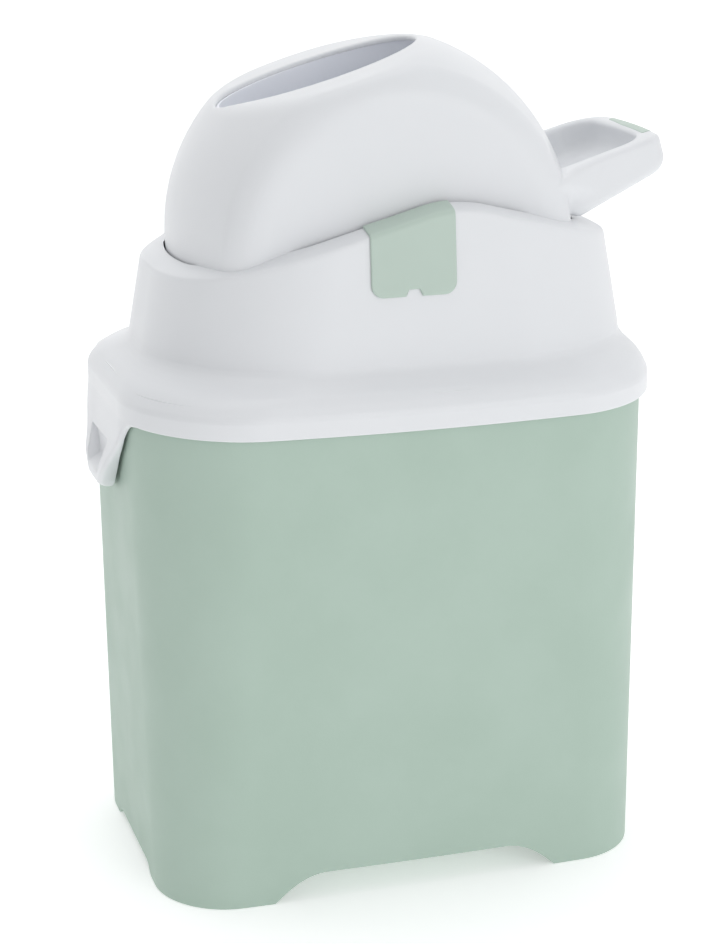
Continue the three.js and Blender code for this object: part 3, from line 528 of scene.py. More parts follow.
CROWN, EDGE = 187.0, 16.0
RISE, FALL, RIDGE_BLEND, RING_BLEND = math.radians(15.3), math.radians(14.2), 12, 4


def barrel(r, y):
    """Distance to the drum before its mouths are cut, by radius round the axle and depth."""
    return round_max(np.hypot(r - (DRUM_R - CROWN), y) - CROWN, np.abs(y) - DRUM_HALF, EDGE)


def neck_top(x):
    """Height of the neck's top edge: a ridge with two slopes over a level ring."""
    rise = RIDGE_Z + (x - RIDGE_X) * math.tan(RISE)
    fall = RIDGE_Z - (x - RIDGE_X) * math.tan(FALL)
    return smooth_max(smooth_min(rise, fall, RIDGE_BLEND), RING_Z, RING_BLEND)


# Lid

# Share of the way from the skirt's outline to the neck's, by height
SHOULDER = [(327.3, 0), (338, 0), (340.8, 0.02), (342.6, 0.05), (344.2, 0.09), (346.7, 0.155), (349.3, 0.245),
            (351.8, 0.365), (354.3, 0.54), (357, 0.72), (359.6, 0.86), (362.4, 0.95), (366, 1), (370, 1)]
SHOULDER_LOW, SHOULDER_HIGH, SHOULDER_TOP = 339.0, 362.0, 370.0
# Height of the skirt's lower edge round the grip tab, by distance from the middle
TAB_EDGE = [(0, 268.3), (4.6, 268.3), (16.2, 272.4), (27.7, 283.6), (40, 297.2), (52, 308.4), (63.1, 322),
            (70, 325.8), (77, 327.3)]
# How far the tab stands out of the skirt, by height
TAB_BULGE = [(268.3, 2.6), (271.3, 6.6), (275.5, 9.1), (284.8, 9), (294, 6.7), (304.9, 3.7), (315.5, 1.6),
             (321, 0.9), (327.3, 0)]
# The tab's half width, where it begins to thin out, and the round of its edge over that of the skirt's
TAB_HALF, TAB_THICK, TAB_ROUND, SKIRT_ROUND = 77, 60, 2.6, 1.0
# The finger pocket: its back, half width at its foot and top, and the heights at which it sets in and ends
POCKET_BACK, POCKET_HALF, POCKET_WIDER, POCKET_SIDE = -182.6, 16, 10, (0.9, -1.3)
POCKET_FOOT, POCKET_TOP, POCKET_FLARE = (280.5, 288.5), (306.2, 303.9), (283, 305)
# The neck's top edge from the wall to the land, as distances inwards and below the top
NECK_EDGE = corner_cut([[0, 5.4], [0.5, 3.7], [2.2, 2.9], [8, 1.2], [14, 0]], 2)
# The land's underside back to the neck's wall, in the same terms
LAND_BACK = [(9.5, 3.9), (5.5, 5.4), (3.6, 7.0), (LID_WALL, 9.5)]
# The round of the land's edge at the drum, the depths of its lip, and the furthest that it reaches inwards
LAND_ROUND, LAND_LIP, LAND_REACH, LAND_ROWS = 0.9, (0.3, 1.0, 2.0, 3.0), 75.0, 6
# Heights of the inner skin's rows under the shoulder, which is this much thicker at most
INNER_FOOT, INNER_LEVELS, INNER_LOW = 368, (362.5, 359, 356, 353, 350, 346.6, 343, 339), 333
SHOULDER_THICKER, THICKER_FROM, THICKER_TO = 2.0, 339, 347
# The tab's inner face: gap to the rim's outline, height where it begins, and the round of the skirt's edge
TAB_INSIDE, TAB_INSIDE_TOP, INSIDE_ROUND, TAB_ROWS = 0.9, 330, 0.5, 5
# The rib that presses on the gasket: insets from the rim, lower edge and room under the shoulder
RIB_OUT, RIB_IN, RIB_Z, RIB_SIDE, RIB_ROOM = 2.4, 5.4, 342.0, 1.5, 1.0
RIB_EDGE = [(4.9, 341.2), (3.9, 341.0), (2.9, 341.2)]
# Stations: close spacing round the tab, the place where it changes and the wide spacing, in millimetres on
# the left end and in shares on its corner, and the counts on the other stretches
END_SPACING, CORNER_SPACING, LID_STATIONS = (0.8, 40, 1.1), (0.011, 0.3, 0.03), (44, 34, 14)
EDGE_ROWS, SKIRT_ROWS, SHOULDER_ROWS, TOP_ROWS, NECK_ROWS, INSIDE_ROWS = 6, 74, 40, 8, 26, 9


def spaced(close, change, wide, end):
    return np.concatenate([np.arange(0, change, close), np.arange(change, end, wide)])


def lid_parts():
    flat_end = SKIRT[1] - SKIRT[2]
    ring = Stations(spaced(*END_SPACING, flat_end) / flat_end, spaced(*CORNER_SPACING, 1),
                    *map(shares, LID_STATIONS))
    count = len(ring)
    nx, ny = ring.normal()
    out = np.column_stack([nx, ny])
    skirt_x, skirt_y = ring.place(SKIRT)
    away = np.abs(skirt_y)
    in_tab = (skirt_x < 0) & (away < TAB_HALF)
    edge_z = np.where(in_tab, spline(TAB_EDGE, away), SKIRT_Z)
    slope = np.where(in_tab, spline(TAB_EDGE, away + 0.5) - spline(TAB_EDGE, away - 0.5), 0)
    lean = np.sqrt(1 + slope ** 2)
    thick = np.where(in_tab, 1 - smooth_step(TAB_THICK, TAB_HALF, away), 0)
    edge_r = SKIRT_ROUND + TAB_ROUND * thick

    def skin(z, extra=0.0):
        """A row of the outer skin at a height, or each station's own, grown by something."""
        z = np.broadcast_to(np.asarray(z, float), count)
        share = spline(SHOULDER, z)
        outline = SKIRT + (NECK - SKIRT) * share[:, None] - np.maximum(z - NECK_Z, 0)[:, None] * NECK_LEAN
        bulge = np.where(in_tab & (z < SKIRT_Z), spline(TAB_BULGE, z), 0)
        x, y = ring.place(grow(outline, extra + bulge))
        x = x + NECK_SHIFT * share + END_PULL * np.clip(-x / SKIRT[0], 0, None) * (1 - share)
        return np.column_stack([pocket(x, y, z), y, z])

    def pocket(x, y, z):
        """Pushes the finger pocket into the tab's face."""
        flare = np.clip((z - POCKET_FLARE[0]) / (POCKET_FLARE[1] - POCKET_FLARE[0]), 0, 1)
        side = smooth_step(*POCKET_SIDE, np.abs(y) - (POCKET_HALF + POCKET_WIDER * flare))
        level = smooth_step(*POCKET_FOOT, z) * smooth_step(*POCKET_TOP, z)
        return x + np.maximum(POCKET_BACK - x, 0) * np.where(in_tab, side * level, 0)

    def top_row(below, inwards):
        """A row of the neck that keeps a distance below its top edge."""
        z = np.full(count, RIDGE_Z)
        for _ in range(4):
            x, y = ring.place(grow(NECK - (z - NECK_Z)[:, None] * NECK_LEAN, -inwards))
            x = x + NECK_SHIFT
            z = neck_top(x) - below
        return np.column_stack([x, y, z])

    def reach(below, gap):
        """Where the land meets the drum's surface, grown by a gap, going inwards from the rim."""
        near, far = np.zeros(count), np.full(count, LAND_REACH)
        for _ in range(40):
            middle = (near + far) / 2
            x, y = rim_row[:, 0] - nx * middle, rim_row[:, 1] - ny * middle
            z = neck_top(x) - below
            outside = barrel(np.hypot(x - PIVOT_X, z - PIVOT_Z), y) > gap
            near, far = np.where(outside, middle, near), np.where(outside, far, middle)
        return np.column_stack([rim_row[:, :2] - out * near[:, None], z])

    # Skirt, shoulder and neck
    rows = []
    for turn in np.linspace(0, math.pi / 2, EDGE_ROWS)[:-1]:
        rows.append(skin(edge_z + edge_r * lean * (1 - math.cos(turn)), -edge_r * (1 - math.sin(turn))))
    low = edge_z + edge_r * lean
    rows += [skin(z) for z in np.linspace(low, SHOULDER_LOW, SKIRT_ROWS)]
    rows += [skin(z) for z in np.linspace(SHOULDER_LOW, SHOULDER_HIGH, SHOULDER_ROWS)[1:]]
    rows += [skin(z) for z in np.linspace(SHOULDER_HIGH, SHOULDER_TOP, TOP_ROWS)[1:]]
    rows += list(np.linspace(rows[-1], top_row(NECK_EDGE[0, 1], 0.0), NECK_ROWS)[1:-1])

    # The land round the drum
    rows += [top_row(below, inwards) for inwards, below in NECK_EDGE]
    rim_row = rows[-1]
    for row in np.linspace(rim_row, reach(0, DRUM_GAP + LAND_ROUND), LAND_ROWS)[1:]:
        row[:, 2] = neck_top(row[:, 0])
        rows.append(row)
    rows += [reach(below, DRUM_GAP) for below in LAND_LIP]

    # The inner skin
    rows += [top_row(below, inwards) for inwards, below in LAND_BACK]
    rows += list(np.linspace(rows[-1], skin(INNER_FOOT, -LID_WALL), INSIDE_ROWS)[1:])
    for z in INNER_LEVELS:
        row = skin(z, -LID_WALL)
        row[:, 2] -= SHOULDER_THICKER * smooth_step(THICKER_FROM, THICKER_TO, z)
        rows.append(row)
    plain = skin(INNER_LOW, -LID_WALL)
    rows.append(plain)
    tab_inside = np.column_stack(ring.place(grow(RIM, TAB_INSIDE)))
    mixing = thick[:, None] ** 0.5
    flat = plain[:, :2] * (1 - mixing) + tab_inside * mixing
    low = edge_z + INSIDE_ROUND
    rows += [np.column_stack([flat, z]) for z in np.linspace(np.maximum(low, TAB_INSIDE_TOP), low, TAB_ROWS)]
    rows.append(np.column_stack([flat + out * INSIDE_ROUND, edge_z]))
    shell = (np.concatenate(rows), grid_faces(len(rows), count, wrap_rows=True))

    # The rib that presses on the gasket, up to the underside of the shoulder
    neck_x, neck_y = ring.place(NECK)
    step = np.hypot(neck_x + NECK_SHIFT - skirt_x, neck_y - skirt_y)
    share = np.clip((OVERHANG + RIB_OUT + RIB_SIDE) / step, 0, 1)
    rib_top = spline([(s, z) for z, s in SHOULDER[1:-1]], share) - RIB_ROOM
    profile = [(RIB_OUT, RIB_Z), (RIB_OUT, rib_top), (RIB_IN, rib_top), (RIB_IN, RIB_Z)] + RIB_EDGE
    points = [np.column_stack([*ring.place(grow(RIM, -inset)), np.broadcast_to(z, count)])
              for inset, z in profile]
    rib = (np.concatenate(points), grid_faces(len(points), count, wrap_rows=True))
    return shell, rib


# The slots for the bushes, open at the top, and the saddles under them
SLOT_R, SLOT_TOP, SLOT_NEAR, SLOT_FAR = 9.5, 480, 90, 112
SADDLE_HALF, SADDLE_LOW, SADDLE_TOP, SADDLE_NEAR, SADDLE_FAR = 16, 414.5, 431.6, 93.4, 108.2
# The posts for the cradle's screws, outside the centres of the neck's rounded corners
POST_R, POST_BORE, POST_LOW, POST_TOP, POST_EDGE, POST_INSET = 6.5, 1.8, 360.3, 375.3, 0.6, 8.5
POST_REACH = (NECK[2] - POST_INSET) * math.sqrt(0.5)


def slot_cutter(near, far):
    bottom = arc((PIVOT_X, PIVOT_Z), SLOT_R, math.pi, 2 * math.pi, 18)
    profile = np.concatenate([bottom, [[PIVOT_X + SLOT_R, SLOT_TOP], [PIVOT_X - SLOT_R, SLOT_TOP]]])
    return shell_object("slot_cutter", [prism(profile, near, far)])


def lid_fittings():
    parts = []
    for side_x in (-1, 1):
        for side_y in (-1, 1):
            spot = (NECK_SHIFT + side_x * (NECK[0] - NECK[2] + POST_REACH),
                    side_y * (NECK[1] - NECK[2] + POST_REACH))
            parts.append(tube(ellipse(POST_R, POST_R, 40, spot), ellipse(POST_BORE, POST_BORE, 40, spot),
                              POST_LOW, POST_TOP, POST_EDGE))
    left, right = PIVOT_X - SADDLE_HALF, PIVOT_X + SADDLE_HALF
    hollow = arc((PIVOT_X, SADDLE_TOP), SLOT_R, 0, -math.pi, 24)
    saddle = np.concatenate([[[right, SADDLE_LOW], [right, SADDLE_TOP]], hollow,
                             [[left, SADDLE_TOP], [left, SADDLE_LOW]]])
    return parts + [prism(saddle, -SADDLE_FAR, -SADDLE_NEAR), prism(saddle, SADDLE_NEAR, SADDLE_FAR)]


lid_shell, lid_rib = lid_parts()
lid = shell_object("lid_shell", [lid_shell])
solid_cut(lid, [slot_cutter(-SLOT_FAR, -SLOT_NEAR), slot_cutter(SLOT_NEAR, SLOT_FAR)])
rib = shell_object("lid_rib", [lid_rib])
knuckle_profile = hinge_profile(KNUCKLE_ROOT, KNUCKLE_LOW, KNUCKLE_TOP)
knuckle = shell_object("lid_knuckle", [prism(knuckle_profile, -KNUCKLE_HALF, KNUCKLE_HALF, HINGE_EDGE)])
solid_cut(knuckle, [hinge_bore()])
fittings = shell_object("lid_inner_fittings", lid_fittings())
for piece in (lid, rib, knuckle, fittings):
    dress(piece, "white_gloss", "lid", "lid_housing")

# Clips

CLIP_X, CLIP_HALF, CLIP_LOW, CLIP_CORNER, CLIP_BACK = -1.0, 28.5, 408.5, 8.0, 93.9
CLIP_PLATE, CLIP_RIM, CLIP_GAP = 1.5, 0.75, 0.3
NOTCH_HEIGHT, NOTCH_OUT, NOTCH_IN = 4.5, 5.9, 3.1
TONGUE_HALF, TONGUE_LOW, TONGUE_DROP, TONGUE_NEAR, TONGUE_FAR, TONGUE_EDGE = 9.2, 441.8, 1.6, 93.5, 106.6, 0.5
# Columns at a rounded corner, between it and the notch, and across the notch, with the middle ones
CORNER_COLUMNS, FLAT_COLUMNS, NOTCH_COLUMNS, MIDDLE_COLUMNS = 14, 9, (2.4, 6.6, 13), [1.2, 0]
CLIP_ROWS = 34


def clip_parts(side):
    """A folded plate over the neck's edge, with rounded lower corners and a notch, and its tongue."""
    flat = CLIP_HALF - CLIP_CORNER
    notch_columns = np.linspace(*NOTCH_COLUMNS)
    place = np.concatenate([flat + CLIP_CORNER * np.sin(np.linspace(0, math.pi / 2, CORNER_COLUMNS)),
                            np.linspace(flat, notch_columns[-1], FLAT_COLUMNS)[1:-1],
                            notch_columns, MIDDLE_COLUMNS])
    place = np.unique(np.round(np.concatenate([place, -place]), 4))
    away = np.abs(place)
    low = CLIP_LOW + CLIP_CORNER - np.sqrt(np.maximum(CLIP_CORNER ** 2 - np.maximum(away - flat, 0) ** 2, 0))
    low = low + NOTCH_HEIGHT * smooth_step(NOTCH_OUT, NOTCH_IN, away)
    x = CLIP_X + place
    top = neck_top(x)

    def depth(z):
        return NECK[1] - NECK_LEAN[1] * (z - NECK_Z)

    # Profile from the drum's side over the edge and down the face
    land = depth(top) - NECK_EDGE[-1, 0]
    lines = [(y, top) for y in np.linspace(CLIP_BACK, land, 3)[:2]]
    lines += [(depth(top - below) - inwards, top - below) for inwards, below in NECK_EDGE[::-1]]
    face = top - NECK_EDGE[0, 1]
    lines += [(depth(z), z) for z in np.linspace(face, low, CLIP_ROWS)[1:]]
    y, z = (np.stack([line[k] for line in lines]) for k in range(2))
    ny, nz = -np.gradient(z, axis=0), np.gradient(y, axis=0)
    length = np.hypot(ny, nz)
    ny, nz = ny / length, nz / length

    # The outer face comes down to the plate's rounded rim by the distance to the plate's own edge
    step = np.hypot(np.diff(y, axis=0), np.diff(z, axis=0))
    along = np.concatenate([np.zeros((1, len(x))), np.cumsum(step, 0)])
    room = np.minimum(np.minimum(CLIP_HALF - away, along[-1:] - along), along)
    lift = CLIP_PLATE - CLIP_RIM + np.sqrt(np.maximum(CLIP_RIM ** 2 - np.maximum(CLIP_RIM - room, 0) ** 2, 0))

    def face_points(height):
        across = np.broadcast_to(x, y.shape)
        return np.stack([across, side * (y + ny * height), z + nz * height], -1).reshape(-1, 3)

    points = np.concatenate([face_points(CLIP_GAP + lift), face_points(CLIP_GAP)])
    rows, columns = y.shape
    outer = grid_faces(rows, columns, wrap_columns=False)
    border = np.concatenate([np.arange(columns), np.arange(1, rows) * columns + columns - 1,
                             (rows - 1) * columns + np.arange(columns - 2, -1, -1),
                             np.arange(rows - 2, 0, -1) * columns])
    ahead = np.roll(border, -1)
    strip = np.stack([border, ahead, ahead + rows * columns, border + rows * columns], 1)
    plate = (points, np.concatenate([outer, outer[:, ::-1] + rows * columns, strip]))

    ends = np.array([PIVOT_X + TONGUE_HALF, PIVOT_X - TONGUE_HALF])
    tops = neck_top(ends) - TONGUE_DROP
    tongue = [[ends[1], TONGUE_LOW], [ends[0], TONGUE_LOW], [ends[0], tops[0]], [ends[1], tops[1]]]
    near, far = sorted((side * TONGUE_NEAR, side * TONGUE_FAR))
    return [plate, prism(tongue, near, far, TONGUE_EDGE)]


for side, name in ((-1, "front"), (1, "back")):
    clip = shell_object(f"clip_{name}", clip_parts(side), SHARP_CLIP)
    dress(clip, "sage_trim", "lid", f"axle_clip_{name}")

# Drum, from its distance field

MOUTH_ROUND, MOUTH_EDGE, DOME_BLEND, MOUTH_WALL = 10.0, 2.6, 5.0, 3.0
# The handle's face, tip and lines of its underside: height, place, slope and the slope's cosine
FACE_H, FACE_ROUND, TIP, TIP_CURVE = 8.5, 4.5, 203.0, 3.0 / 56.0 ** 2
UNDER = [(-29.2, 135, -0.5867, 0.8625), (-24.2, 135, 0.159, 0.988), (-14.5, 196, 0.6, 0.857)]
UNDER_BLENDS, UNDER_EDGE = (2.0, 5.0), 6.0
# Half width and corner at the near and the far side, and how much each side closes in towards the tip
SIDE_TAPER, TAPER_FROM, GRIP_START = (0.06, 0.03), 134, 60
GRIP = {"half": (66.5, 60.8), "corner": (12.0, 28.0), "inset": 0.0}
TRAY = {"half": (52.5, 54.0), "corner": (16.0, 20.0), "inset": 11.5}
TRAY_WALL, TRAY_FLOOR_BLEND, TRAY_BLEND, TRAY_EDGE, TRAY_TO_DRUM = 4.2, 14.0, 6.0, 4.0, 0.5
# The blend of handle and dome grows by height over the underside
BLEND_LEAST, BLEND_MORE, BLEND_FROM, BLEND_TO = 1.0, 25.0, 4, 26
# The two shells: height where the upper ends and where the lower begins, the box that holds each, and the
# fineness of their mesh
HALVES = [("upper", "drum_shell", -1, -36.0, (-138, -94.5, -38.2), (206, 95, 115)),
          ("lower", "drum_cap", 1, -36.3, (-138, -94.5, -115), (140, 95, -34))]
GRID_STEP = 1.3


def tip_line(y):
    """Where the handle's tip ends, along the handle."""
    return TIP - TIP_CURVE * y ** 2


def handle_plan(x, y, half, corner, inset):
    """Distance to an outline of the handle, with its own width and corner at the near and the far side."""
    front = y < 0
    side = np.where(front, -y - half[0] + SIDE_TAPER[0] * (x - TAPER_FROM),
                    y - half[1] + SIDE_TAPER[1] * (x - TAPER_FROM))
    return round_max(side, x - tip_line(y) + inset, np.where(front, *corner))


def under_lines(x, h, lift):
    """Distances below the lines of the handle's underside, lifted by something."""
    return [(height + lift + (x - place) * slope - h) * cosine for height, place, slope, cosine in UNDER]


def drum_field(p):
    """Signed distance to the whole drum, in its own frame: X along the handle, Z along the tube."""
    x, y, h = p[..., 0], p[..., 1], p[..., 2]
    body = barrel(np.hypot(x, h), y)
    dome = smooth_max(body, round_max(np.abs(y) - DRUM_HALF, np.abs(h) - DRUM_CUT, MOUTH_ROUND), DOME_BLEND)
    under = under_lines(x, h, 0)
    belly = smooth_max(smooth_max(under[0], under[1], UNDER_BLENDS[0]), under[2], UNDER_BLENDS[1])
    grip = np.maximum(smooth_max(handle_plan(x, y, **GRIP), belly, UNDER_EDGE), GRIP_START - x)
    clear = -under[0] / UNDER[0][3]
    grip = smooth_min(dome, grip, BLEND_LEAST + BLEND_MORE * smooth_step(BLEND_FROM, BLEND_TO, clear))
    grip = smooth_max(grip, h - FACE_H, FACE_ROUND)
    floor = np.maximum.reduce(under_lines(x, h, TRAY_WALL))
    tray = smooth_max(handle_plan(x, y, **TRAY), floor, TRAY_FLOOR_BLEND)
    grip = smooth_max(grip, -smooth_max(tray, TRAY_TO_DRUM - body, TRAY_BLEND), TRAY_EDGE)
    across = np.hypot((x - MOUTH_MIDDLE[0]) / MOUTH[0], (y - MOUTH_MIDDLE[1]) / MOUTH[1])
    whole = smooth_max(np.minimum(dome, grip), (1 - across) * MOUTH[1], MOUTH_EDGE)
    cavity = np.maximum(dome + DRUM_WALL, np.abs(h) - (DRUM_CUT - MOUTH_WALL))
    return np.maximum(whole, -cavity)


def surface(field, low, high, step):
    """Quads round the zero surface of a field (surface nets), drawn onto it afterwards."""
    low, high = np.array(low, float), np.array(high, float)
    size = np.ceil((high - low) / step).astype(int) + 1
    axes = [low[k] + step * np.arange(size[k]) for k in range(3)]
    values = np.empty(size)
    layers = 24
    for i in range(0, size[0], layers):
        block = np.stack(np.meshgrid(axes[0][i:i + layers], axes[1], axes[2], indexing="ij"), -1)
        values[i:i + layers] = field(block)
    cells = size - 1

    def neighbours(grid, axis):
        lower, upper = [slice(None)] * 3, [slice(None)] * 3
        lower[axis], upper[axis] = slice(0, -1), slice(1, None)
        return grid[tuple(lower)], grid[tuple(upper)]

    # A point in every cell that the surface crosses, at the mean of the crossings
    total, hits = np.zeros((*cells, 3)), np.zeros(cells)
    for axis in range(3):
        u, v = [k for k in range(3) if k != axis]
        a, b = neighbours(values, axis)
        crossing = (a < 0) != (b < 0)
        share = np.where(crossing, a / np.where(a == b, 1, a - b), 0)
        for du in (0, 1):
            for dv in (0, 1):
                pick = [slice(None)] * 3
                pick[u], pick[v] = slice(du, du + cells[u]), slice(dv, dv + cells[v])
                there, part = crossing[tuple(pick)], share[tuple(pick)]
                hits += there
                total[..., axis] += np.where(there, part, 0)
                total[..., u] += np.where(there, du, 0)
                total[..., v] += np.where(there, dv, 0)
    used = hits > 0
    number = np.full(tuple(cells), -1)
    number[used] = np.arange(used.sum())
    points = low + step * (np.stack(np.nonzero(used), -1) + total[used] / hits[used][:, None])

    # A quad round every grid edge that the surface crosses
    quads = []
    for axis in range(3):
        u, v = (axis + 1) % 3, (axis + 2) % 3
        a, b = neighbours(values < 0, axis)
        spot = np.stack(np.nonzero(a != b), -1)
        spot = spot[(spot[:, u] > 0) & (spot[:, v] > 0) & (spot[:, u] < cells[u]) & (spot[:, v] < cells[v])]
        across = np.eye(3, dtype=int)[[u, v]]
        quad = np.stack([number[tuple((spot + np.array(corner) @ across).T)]
                         for corner in ((-1, -1), (0, -1), (0, 0), (-1, 0))], -1)
        quads.append(np.where(a[tuple(spot.T)][:, None], quad, quad[:, ::-1]))

    # The points go to the surface along the field's slope, in short steps
    probe, longest = 0.1, step * 0.6
    for _ in range(4):
        grade = np.stack([(field(points + e) - field(points - e)) / (2 * probe)
                          for e in np.eye(3) * probe], -1)
        move = -(field(points) / np.maximum((grade ** 2).sum(-1), 0.25))[:, None] * grade
        far = np.linalg.norm(move, axis=1, keepdims=True)
        points = points + move * np.minimum(1, longest / np.maximum(far, 1e-9))
    return points, np.concatenate(quads)


def to_lid(points):
    """From the drum's own frame to the part's, at rest."""
    x, y, h = points.T
    cos, sin = math.cos(TILT), math.sin(TILT)
    return np.stack([PIVOT_X + x * cos - h * sin, y, PIVOT_Z + x * sin + h * cos], 1)


def half_field(side, split):
    return lambda p: np.maximum(drum_field(p), side * (p[..., 2] - split))


for half, node, side, split, low, high in HALVES:
    points, quads = surface(half_field(side, split), low, high, GRID_STEP)
    shell = quad_object(f"drum_{half}_shell", to_lid(points), quads, SHARP_DRUM)
    dress(shell, "white_gloss", "drum", node)

# The tube inside the drum, in the plastic with the painted lavender shade tint
points, quads = tube(ellipse(BORE[0] + BORE_WALL, BORE[1] + BORE_WALL, 144), ellipse(*BORE, 144),
                     -LINER_HALF, LINER_HALF, edge=0.5)
liner = quad_object("drum_liner", to_lid(points), quads)
dress(liner, "white_inner", "drum", "drum_tube")

# Inlay

# Ends along the tip, distance from the tip, width, how much narrower the far end is, and from where
INLAY_NEAR, INLAY_FAR, INLAY_IN, INLAY_WIDTH, INLAY_NARROWER, NARROWER_FROM = -41, 23, 0.8, 7.2, 1.8, -5
# Length of the round at each end, the stations on it and between, and the heights between which the rim lies
INLAY_ROUND, INLAY_END, INLAY_STATIONS, RIM_BETWEEN = 1.2, [0, 0.2, 0.6], 60, (2.0, 12.0)
# Across the band: share of its width and height over the handle, from foot to foot
INLAY_PROFILE = [(0, -1.2), (0, 0.1), (0.03, 0.25), (0.12, 0.3), (0.3, 0.3), (0.5, 0.3), (0.7, 0.3),
                 (0.88, 0.3), (0.97, 0.25), (1, 0.1), (1, -1.2)]


def inlay_part():
    """The band let into the handle's rim at its tip, which follows the rim's rounded edge."""
    near, far = INLAY_NEAR + INLAY_ROUND, INLAY_FAR - INLAY_ROUND
    y = np.concatenate([INLAY_NEAR + np.array(INLAY_END), np.linspace(near, far, INLAY_STATIONS),
                        INLAY_FAR - np.array(INLAY_END[::-1])])
    width = INLAY_WIDTH - INLAY_NARROWER * smooth_step(NARROWER_FROM, INLAY_FAR, y)
    end = np.sqrt(np.clip(np.minimum(y - INLAY_NEAR, INLAY_FAR - y) / INLAY_ROUND, 0, 1))
    rows = []
    for share, lift in INLAY_PROFILE:
        x = tip_line(y) - INLAY_IN - width * (0.5 + (share - 0.5) * (0.75 + 0.25 * end))
        low, high = (np.full(len(y), height) for height in RIM_BETWEEN)
        for _ in range(24):
            middle = (low + high) / 2
            solid = drum_field(np.stack([x, y, middle], -1)) < 0
            low, high = np.where(solid, middle, low), np.where(solid, high, middle)
        rows.append(np.column_stack([x, y, low + lift]))
    n, m = len(rows), len(y)
    faces = [grid_faces(n, m, wrap_rows=True, wrap_columns=False)]
    for column in (0, m - 1):
        k = [r * m + column for r in range(n)]
        faces.append(np.array([[k[0], k[i], k[i + 1], k[i + 1]] for i in range(1, n - 1)]))
    return to_lid(np.concatenate(rows)), np.concatenate(faces)


inlay = shell_object("handle_inlay_band", [inlay_part()])
dress(inlay, "sage_trim", "drum", "handle_inlay")

# CAD pieces that keep their shape, with small rounded edges

SOFT_ANGLE, BEVEL_WIDTH = math.radians(38), 0.00025

soft_edges = bpy.data.node_groups.new("soft_edges", "GeometryNodeTree")
soft_edges.interface.new_socket("Geometry", in_out="INPUT", socket_type="NodeSocketGeometry")
soft_edges.interface.new_socket("Geometry", in_out="OUTPUT", socket_type="NodeSocketGeometry")
start, done, faces_on, edges_on, angle, below = map(soft_edges.nodes.new, (
    "NodeGroupInput", "NodeGroupOutput", "GeometryNodeSetShadeSmooth", "GeometryNodeSetShadeSmooth",
    "GeometryNodeInputMeshEdgeAngle", "FunctionNodeCompare"))
edges_on.domain = "EDGE"
below.operation = "LESS_EQUAL"
below.inputs[1].default_value = SOFT_ANGLE
soft_edges.links.new(start.outputs[0], faces_on.inputs["Geometry"])
soft_edges.links.new(faces_on.outputs[0], edges_on.inputs["Geometry"])
soft_edges.links.new(angle.outputs["Unsigned Angle"], below.inputs[0])
soft_edges.links.new(below.outputs[0], edges_on.inputs["Shade Smooth"])
soft_edges.links.new(edges_on.outputs[0], done.inputs[0])

kept = {
    "steel": ["hinge_pin", "axle_screw_front", "axle_screw_back", "piston_bolt"]
             + [f"cradle_screw_{k}" for k in range(1, 5)],
    "grey_plastic": ["drum_cradle", "axle_bush_front", "axle_bush_back"],
    # Parts inside the drum and bushes take the plastic with the painted lavender shade tint
    "white_inner": ["axle_front", "axle_back", "piston_cup_lower", "piston_cup_upper"],
    "dark_rubber": ["drum_seal", "piston_seal_lower", "piston_seal_upper"],
    "pale_rubber": ["lid_gasket"],
    "cast_iron": ["piston_weight"],
}
for slot, names in kept.items():
    for name in names:
        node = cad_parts[name]
        for k in range(len(node.data.materials)):
            node.data.materials[k] = by_slot[slot]
        if not node.data.materials:
            node.data.materials.append(by_slot[slot])
        bevel = node.modifiers.new("edge", "BEVEL")
        bevel.width, bevel.segments = BEVEL_WIDTH, 2
        bevel.limit_method, bevel.angle_limit = "ANGLE", SOFT_ANGLE
        node.modifiers.new("shade", "NODES").node_group = soft_edges

# Stage, in metres: a floor that bends up behind the bin

STAGE_HALF, BEND_FROM, BEND_R, STAGE_TOP = 6.0, 1.1, 1.4, 5.5
PAPER_GLOW = 0.33

bend = [(-STAGE_HALF, 0.0), (BEND_FROM, 0.0)]
bend += [(BEND_FROM + BEND_R * math.sin(turn), BEND_R * (1 - math.cos(turn)))
         for turn in np.linspace(0.1, math.pi / 2, 14)]
bend += [(BEND_FROM + BEND_R, STAGE_TOP)]
stage_points = [(x, y, z) for y, z in bend for x in (-STAGE_HALF, STAGE_HALF)]
stage_faces = [(2 * i, 2 * i + 1, 2 * i + 3, 2 * i + 2) for i in range(len(bend) - 1)]
floor_mesh = bpy.data.meshes.new("studio_floor")
floor_mesh.from_pydata(stage_points, [], stage_faces)
floor_mesh.shade_smooth()
studio = place_in_scene("studio_floor", floor_mesh)
paper = plastic("floor_paper", (0.93, 0.93, 0.93), (0.92, 0.92, 0.92), 0.9, mottle=0.3, ripple=0.0)
paper_shader = paper.node_tree.nodes["Principled BSDF"]
paper_shader.inputs["Emission Color"].default_value = (1, 1, 1, 1)
paper_shader.inputs["Emission Strength"].default_value = PAPER_GLOW
floor_mesh.materials.append(paper)

# Light: the air is brighter above, in front and to the right, as an even base and shares of the direction

AIR_COLOR, AIR_BASE, AIR_MOST, AIR_WAY = (0.98, 0.99, 1.0, 1), 0.64, 0.70, (0.48, -0.1, 0.28)
LIGHT_AIM = Vector((0, 0, 0.3))

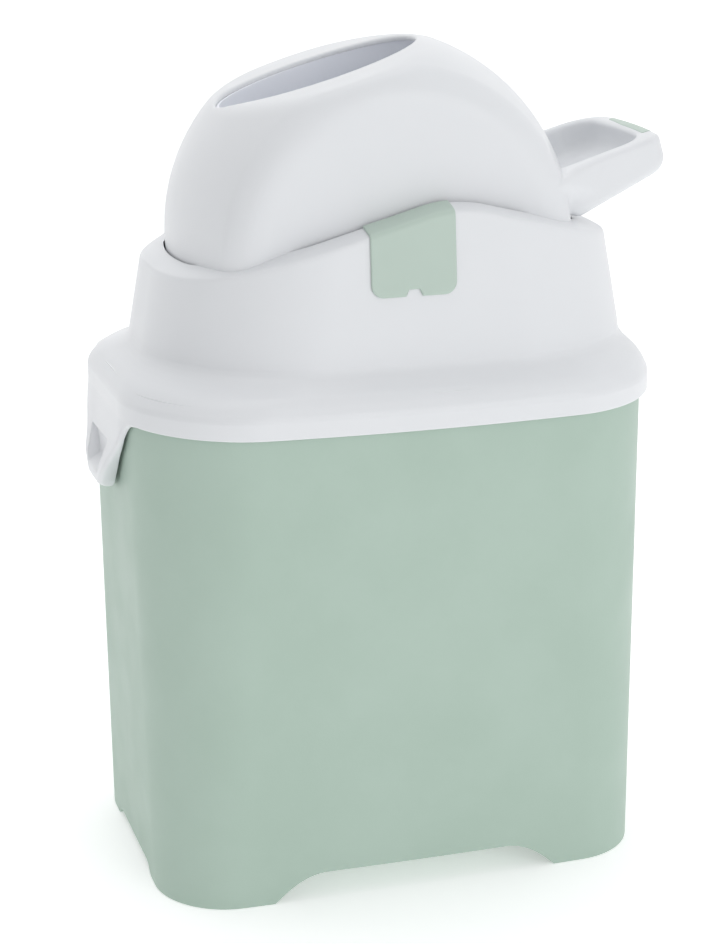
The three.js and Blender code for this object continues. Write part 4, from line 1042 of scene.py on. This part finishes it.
world = bpy.data.worlds.new("studio_air")
bpy.context.scene.world = world
world.use_nodes = True
world_nodes, world_links = world.node_tree.nodes, world.node_tree.links
world_nodes["Background"].inputs["Color"].default_value = AIR_COLOR
heading = world_nodes.new("ShaderNodeTexCoord")
dot = world_nodes.new("ShaderNodeVectorMath")
dot.operation = "DOT_PRODUCT"
dot.inputs[1].default_value = AIR_WAY
even = world_nodes.new("ShaderNodeMath")
even.operation = "ADD"
even.inputs[1].default_value = AIR_BASE
limit = world_nodes.new("ShaderNodeMath")
limit.operation = "MINIMUM"
limit.inputs[1].default_value = AIR_MOST
world_links.new(heading.outputs["Generated"], dot.inputs[0])
world_links.new(dot.outputs["Value"], even.inputs[0])
world_links.new(even.outputs[0], limit.inputs[0])
world_links.new(limit.outputs[0], world_nodes["Background"].inputs["Strength"])


def area_light(name, place, width, height, power):
    lamp = bpy.data.lights.new(name, "AREA")
    lamp.shape, lamp.size, lamp.size_y, lamp.energy = "RECTANGLE", width, height, power
    holder = place_in_scene(name, lamp)
    holder.location = place
    holder.rotation_euler = (LIGHT_AIM - Vector(place)).to_track_quat("-Z", "Y").to_euler()


area_light("key", (0.9, -2.3, 1.0), width=1.2, height=1.0, power=8)
area_light("top", (-0.1, 0.2, 2.4), width=1.6, height=1.2, power=10)

# Camera, solved from the container's outlines in the photograph: angles, place in millimetres and
# focal length in the photograph's pixels

YAW, PITCH, ROLL = 0.2986704, 0.2888454, -0.0033705
CAMERA_X, CAMERA_Y, CAMERA_Z = -448.7, -1453.1, 711.9
FOCAL, PHOTO_HEIGHT, SENSOR = 2266.65, 944, 36

ahead = Vector((math.sin(YAW) * math.cos(PITCH), math.cos(YAW) * math.cos(PITCH), -math.sin(PITCH)))
level_right = Vector((math.cos(YAW), -math.sin(YAW), 0))
level_up = level_right.cross(ahead)
right = level_right * math.cos(ROLL) + level_up * math.sin(ROLL)
up = level_up * math.cos(ROLL) - level_right * math.sin(ROLL)
camera_data = bpy.data.cameras.new("camera")
camera_data.lens = SENSOR * FOCAL / PHOTO_HEIGHT
camera = place_in_scene("camera", camera_data)
place = Vector((CAMERA_X + PART_SHIFT, CAMERA_Y, CAMERA_Z)) / 1000
camera.matrix_world = Matrix.Translation(place) @ Matrix((right, up, -ahead)).transposed().to_4x4()
bpy.context.scene.camera = camera
bpy.context.scene.view_settings.view_transform = "Standard"
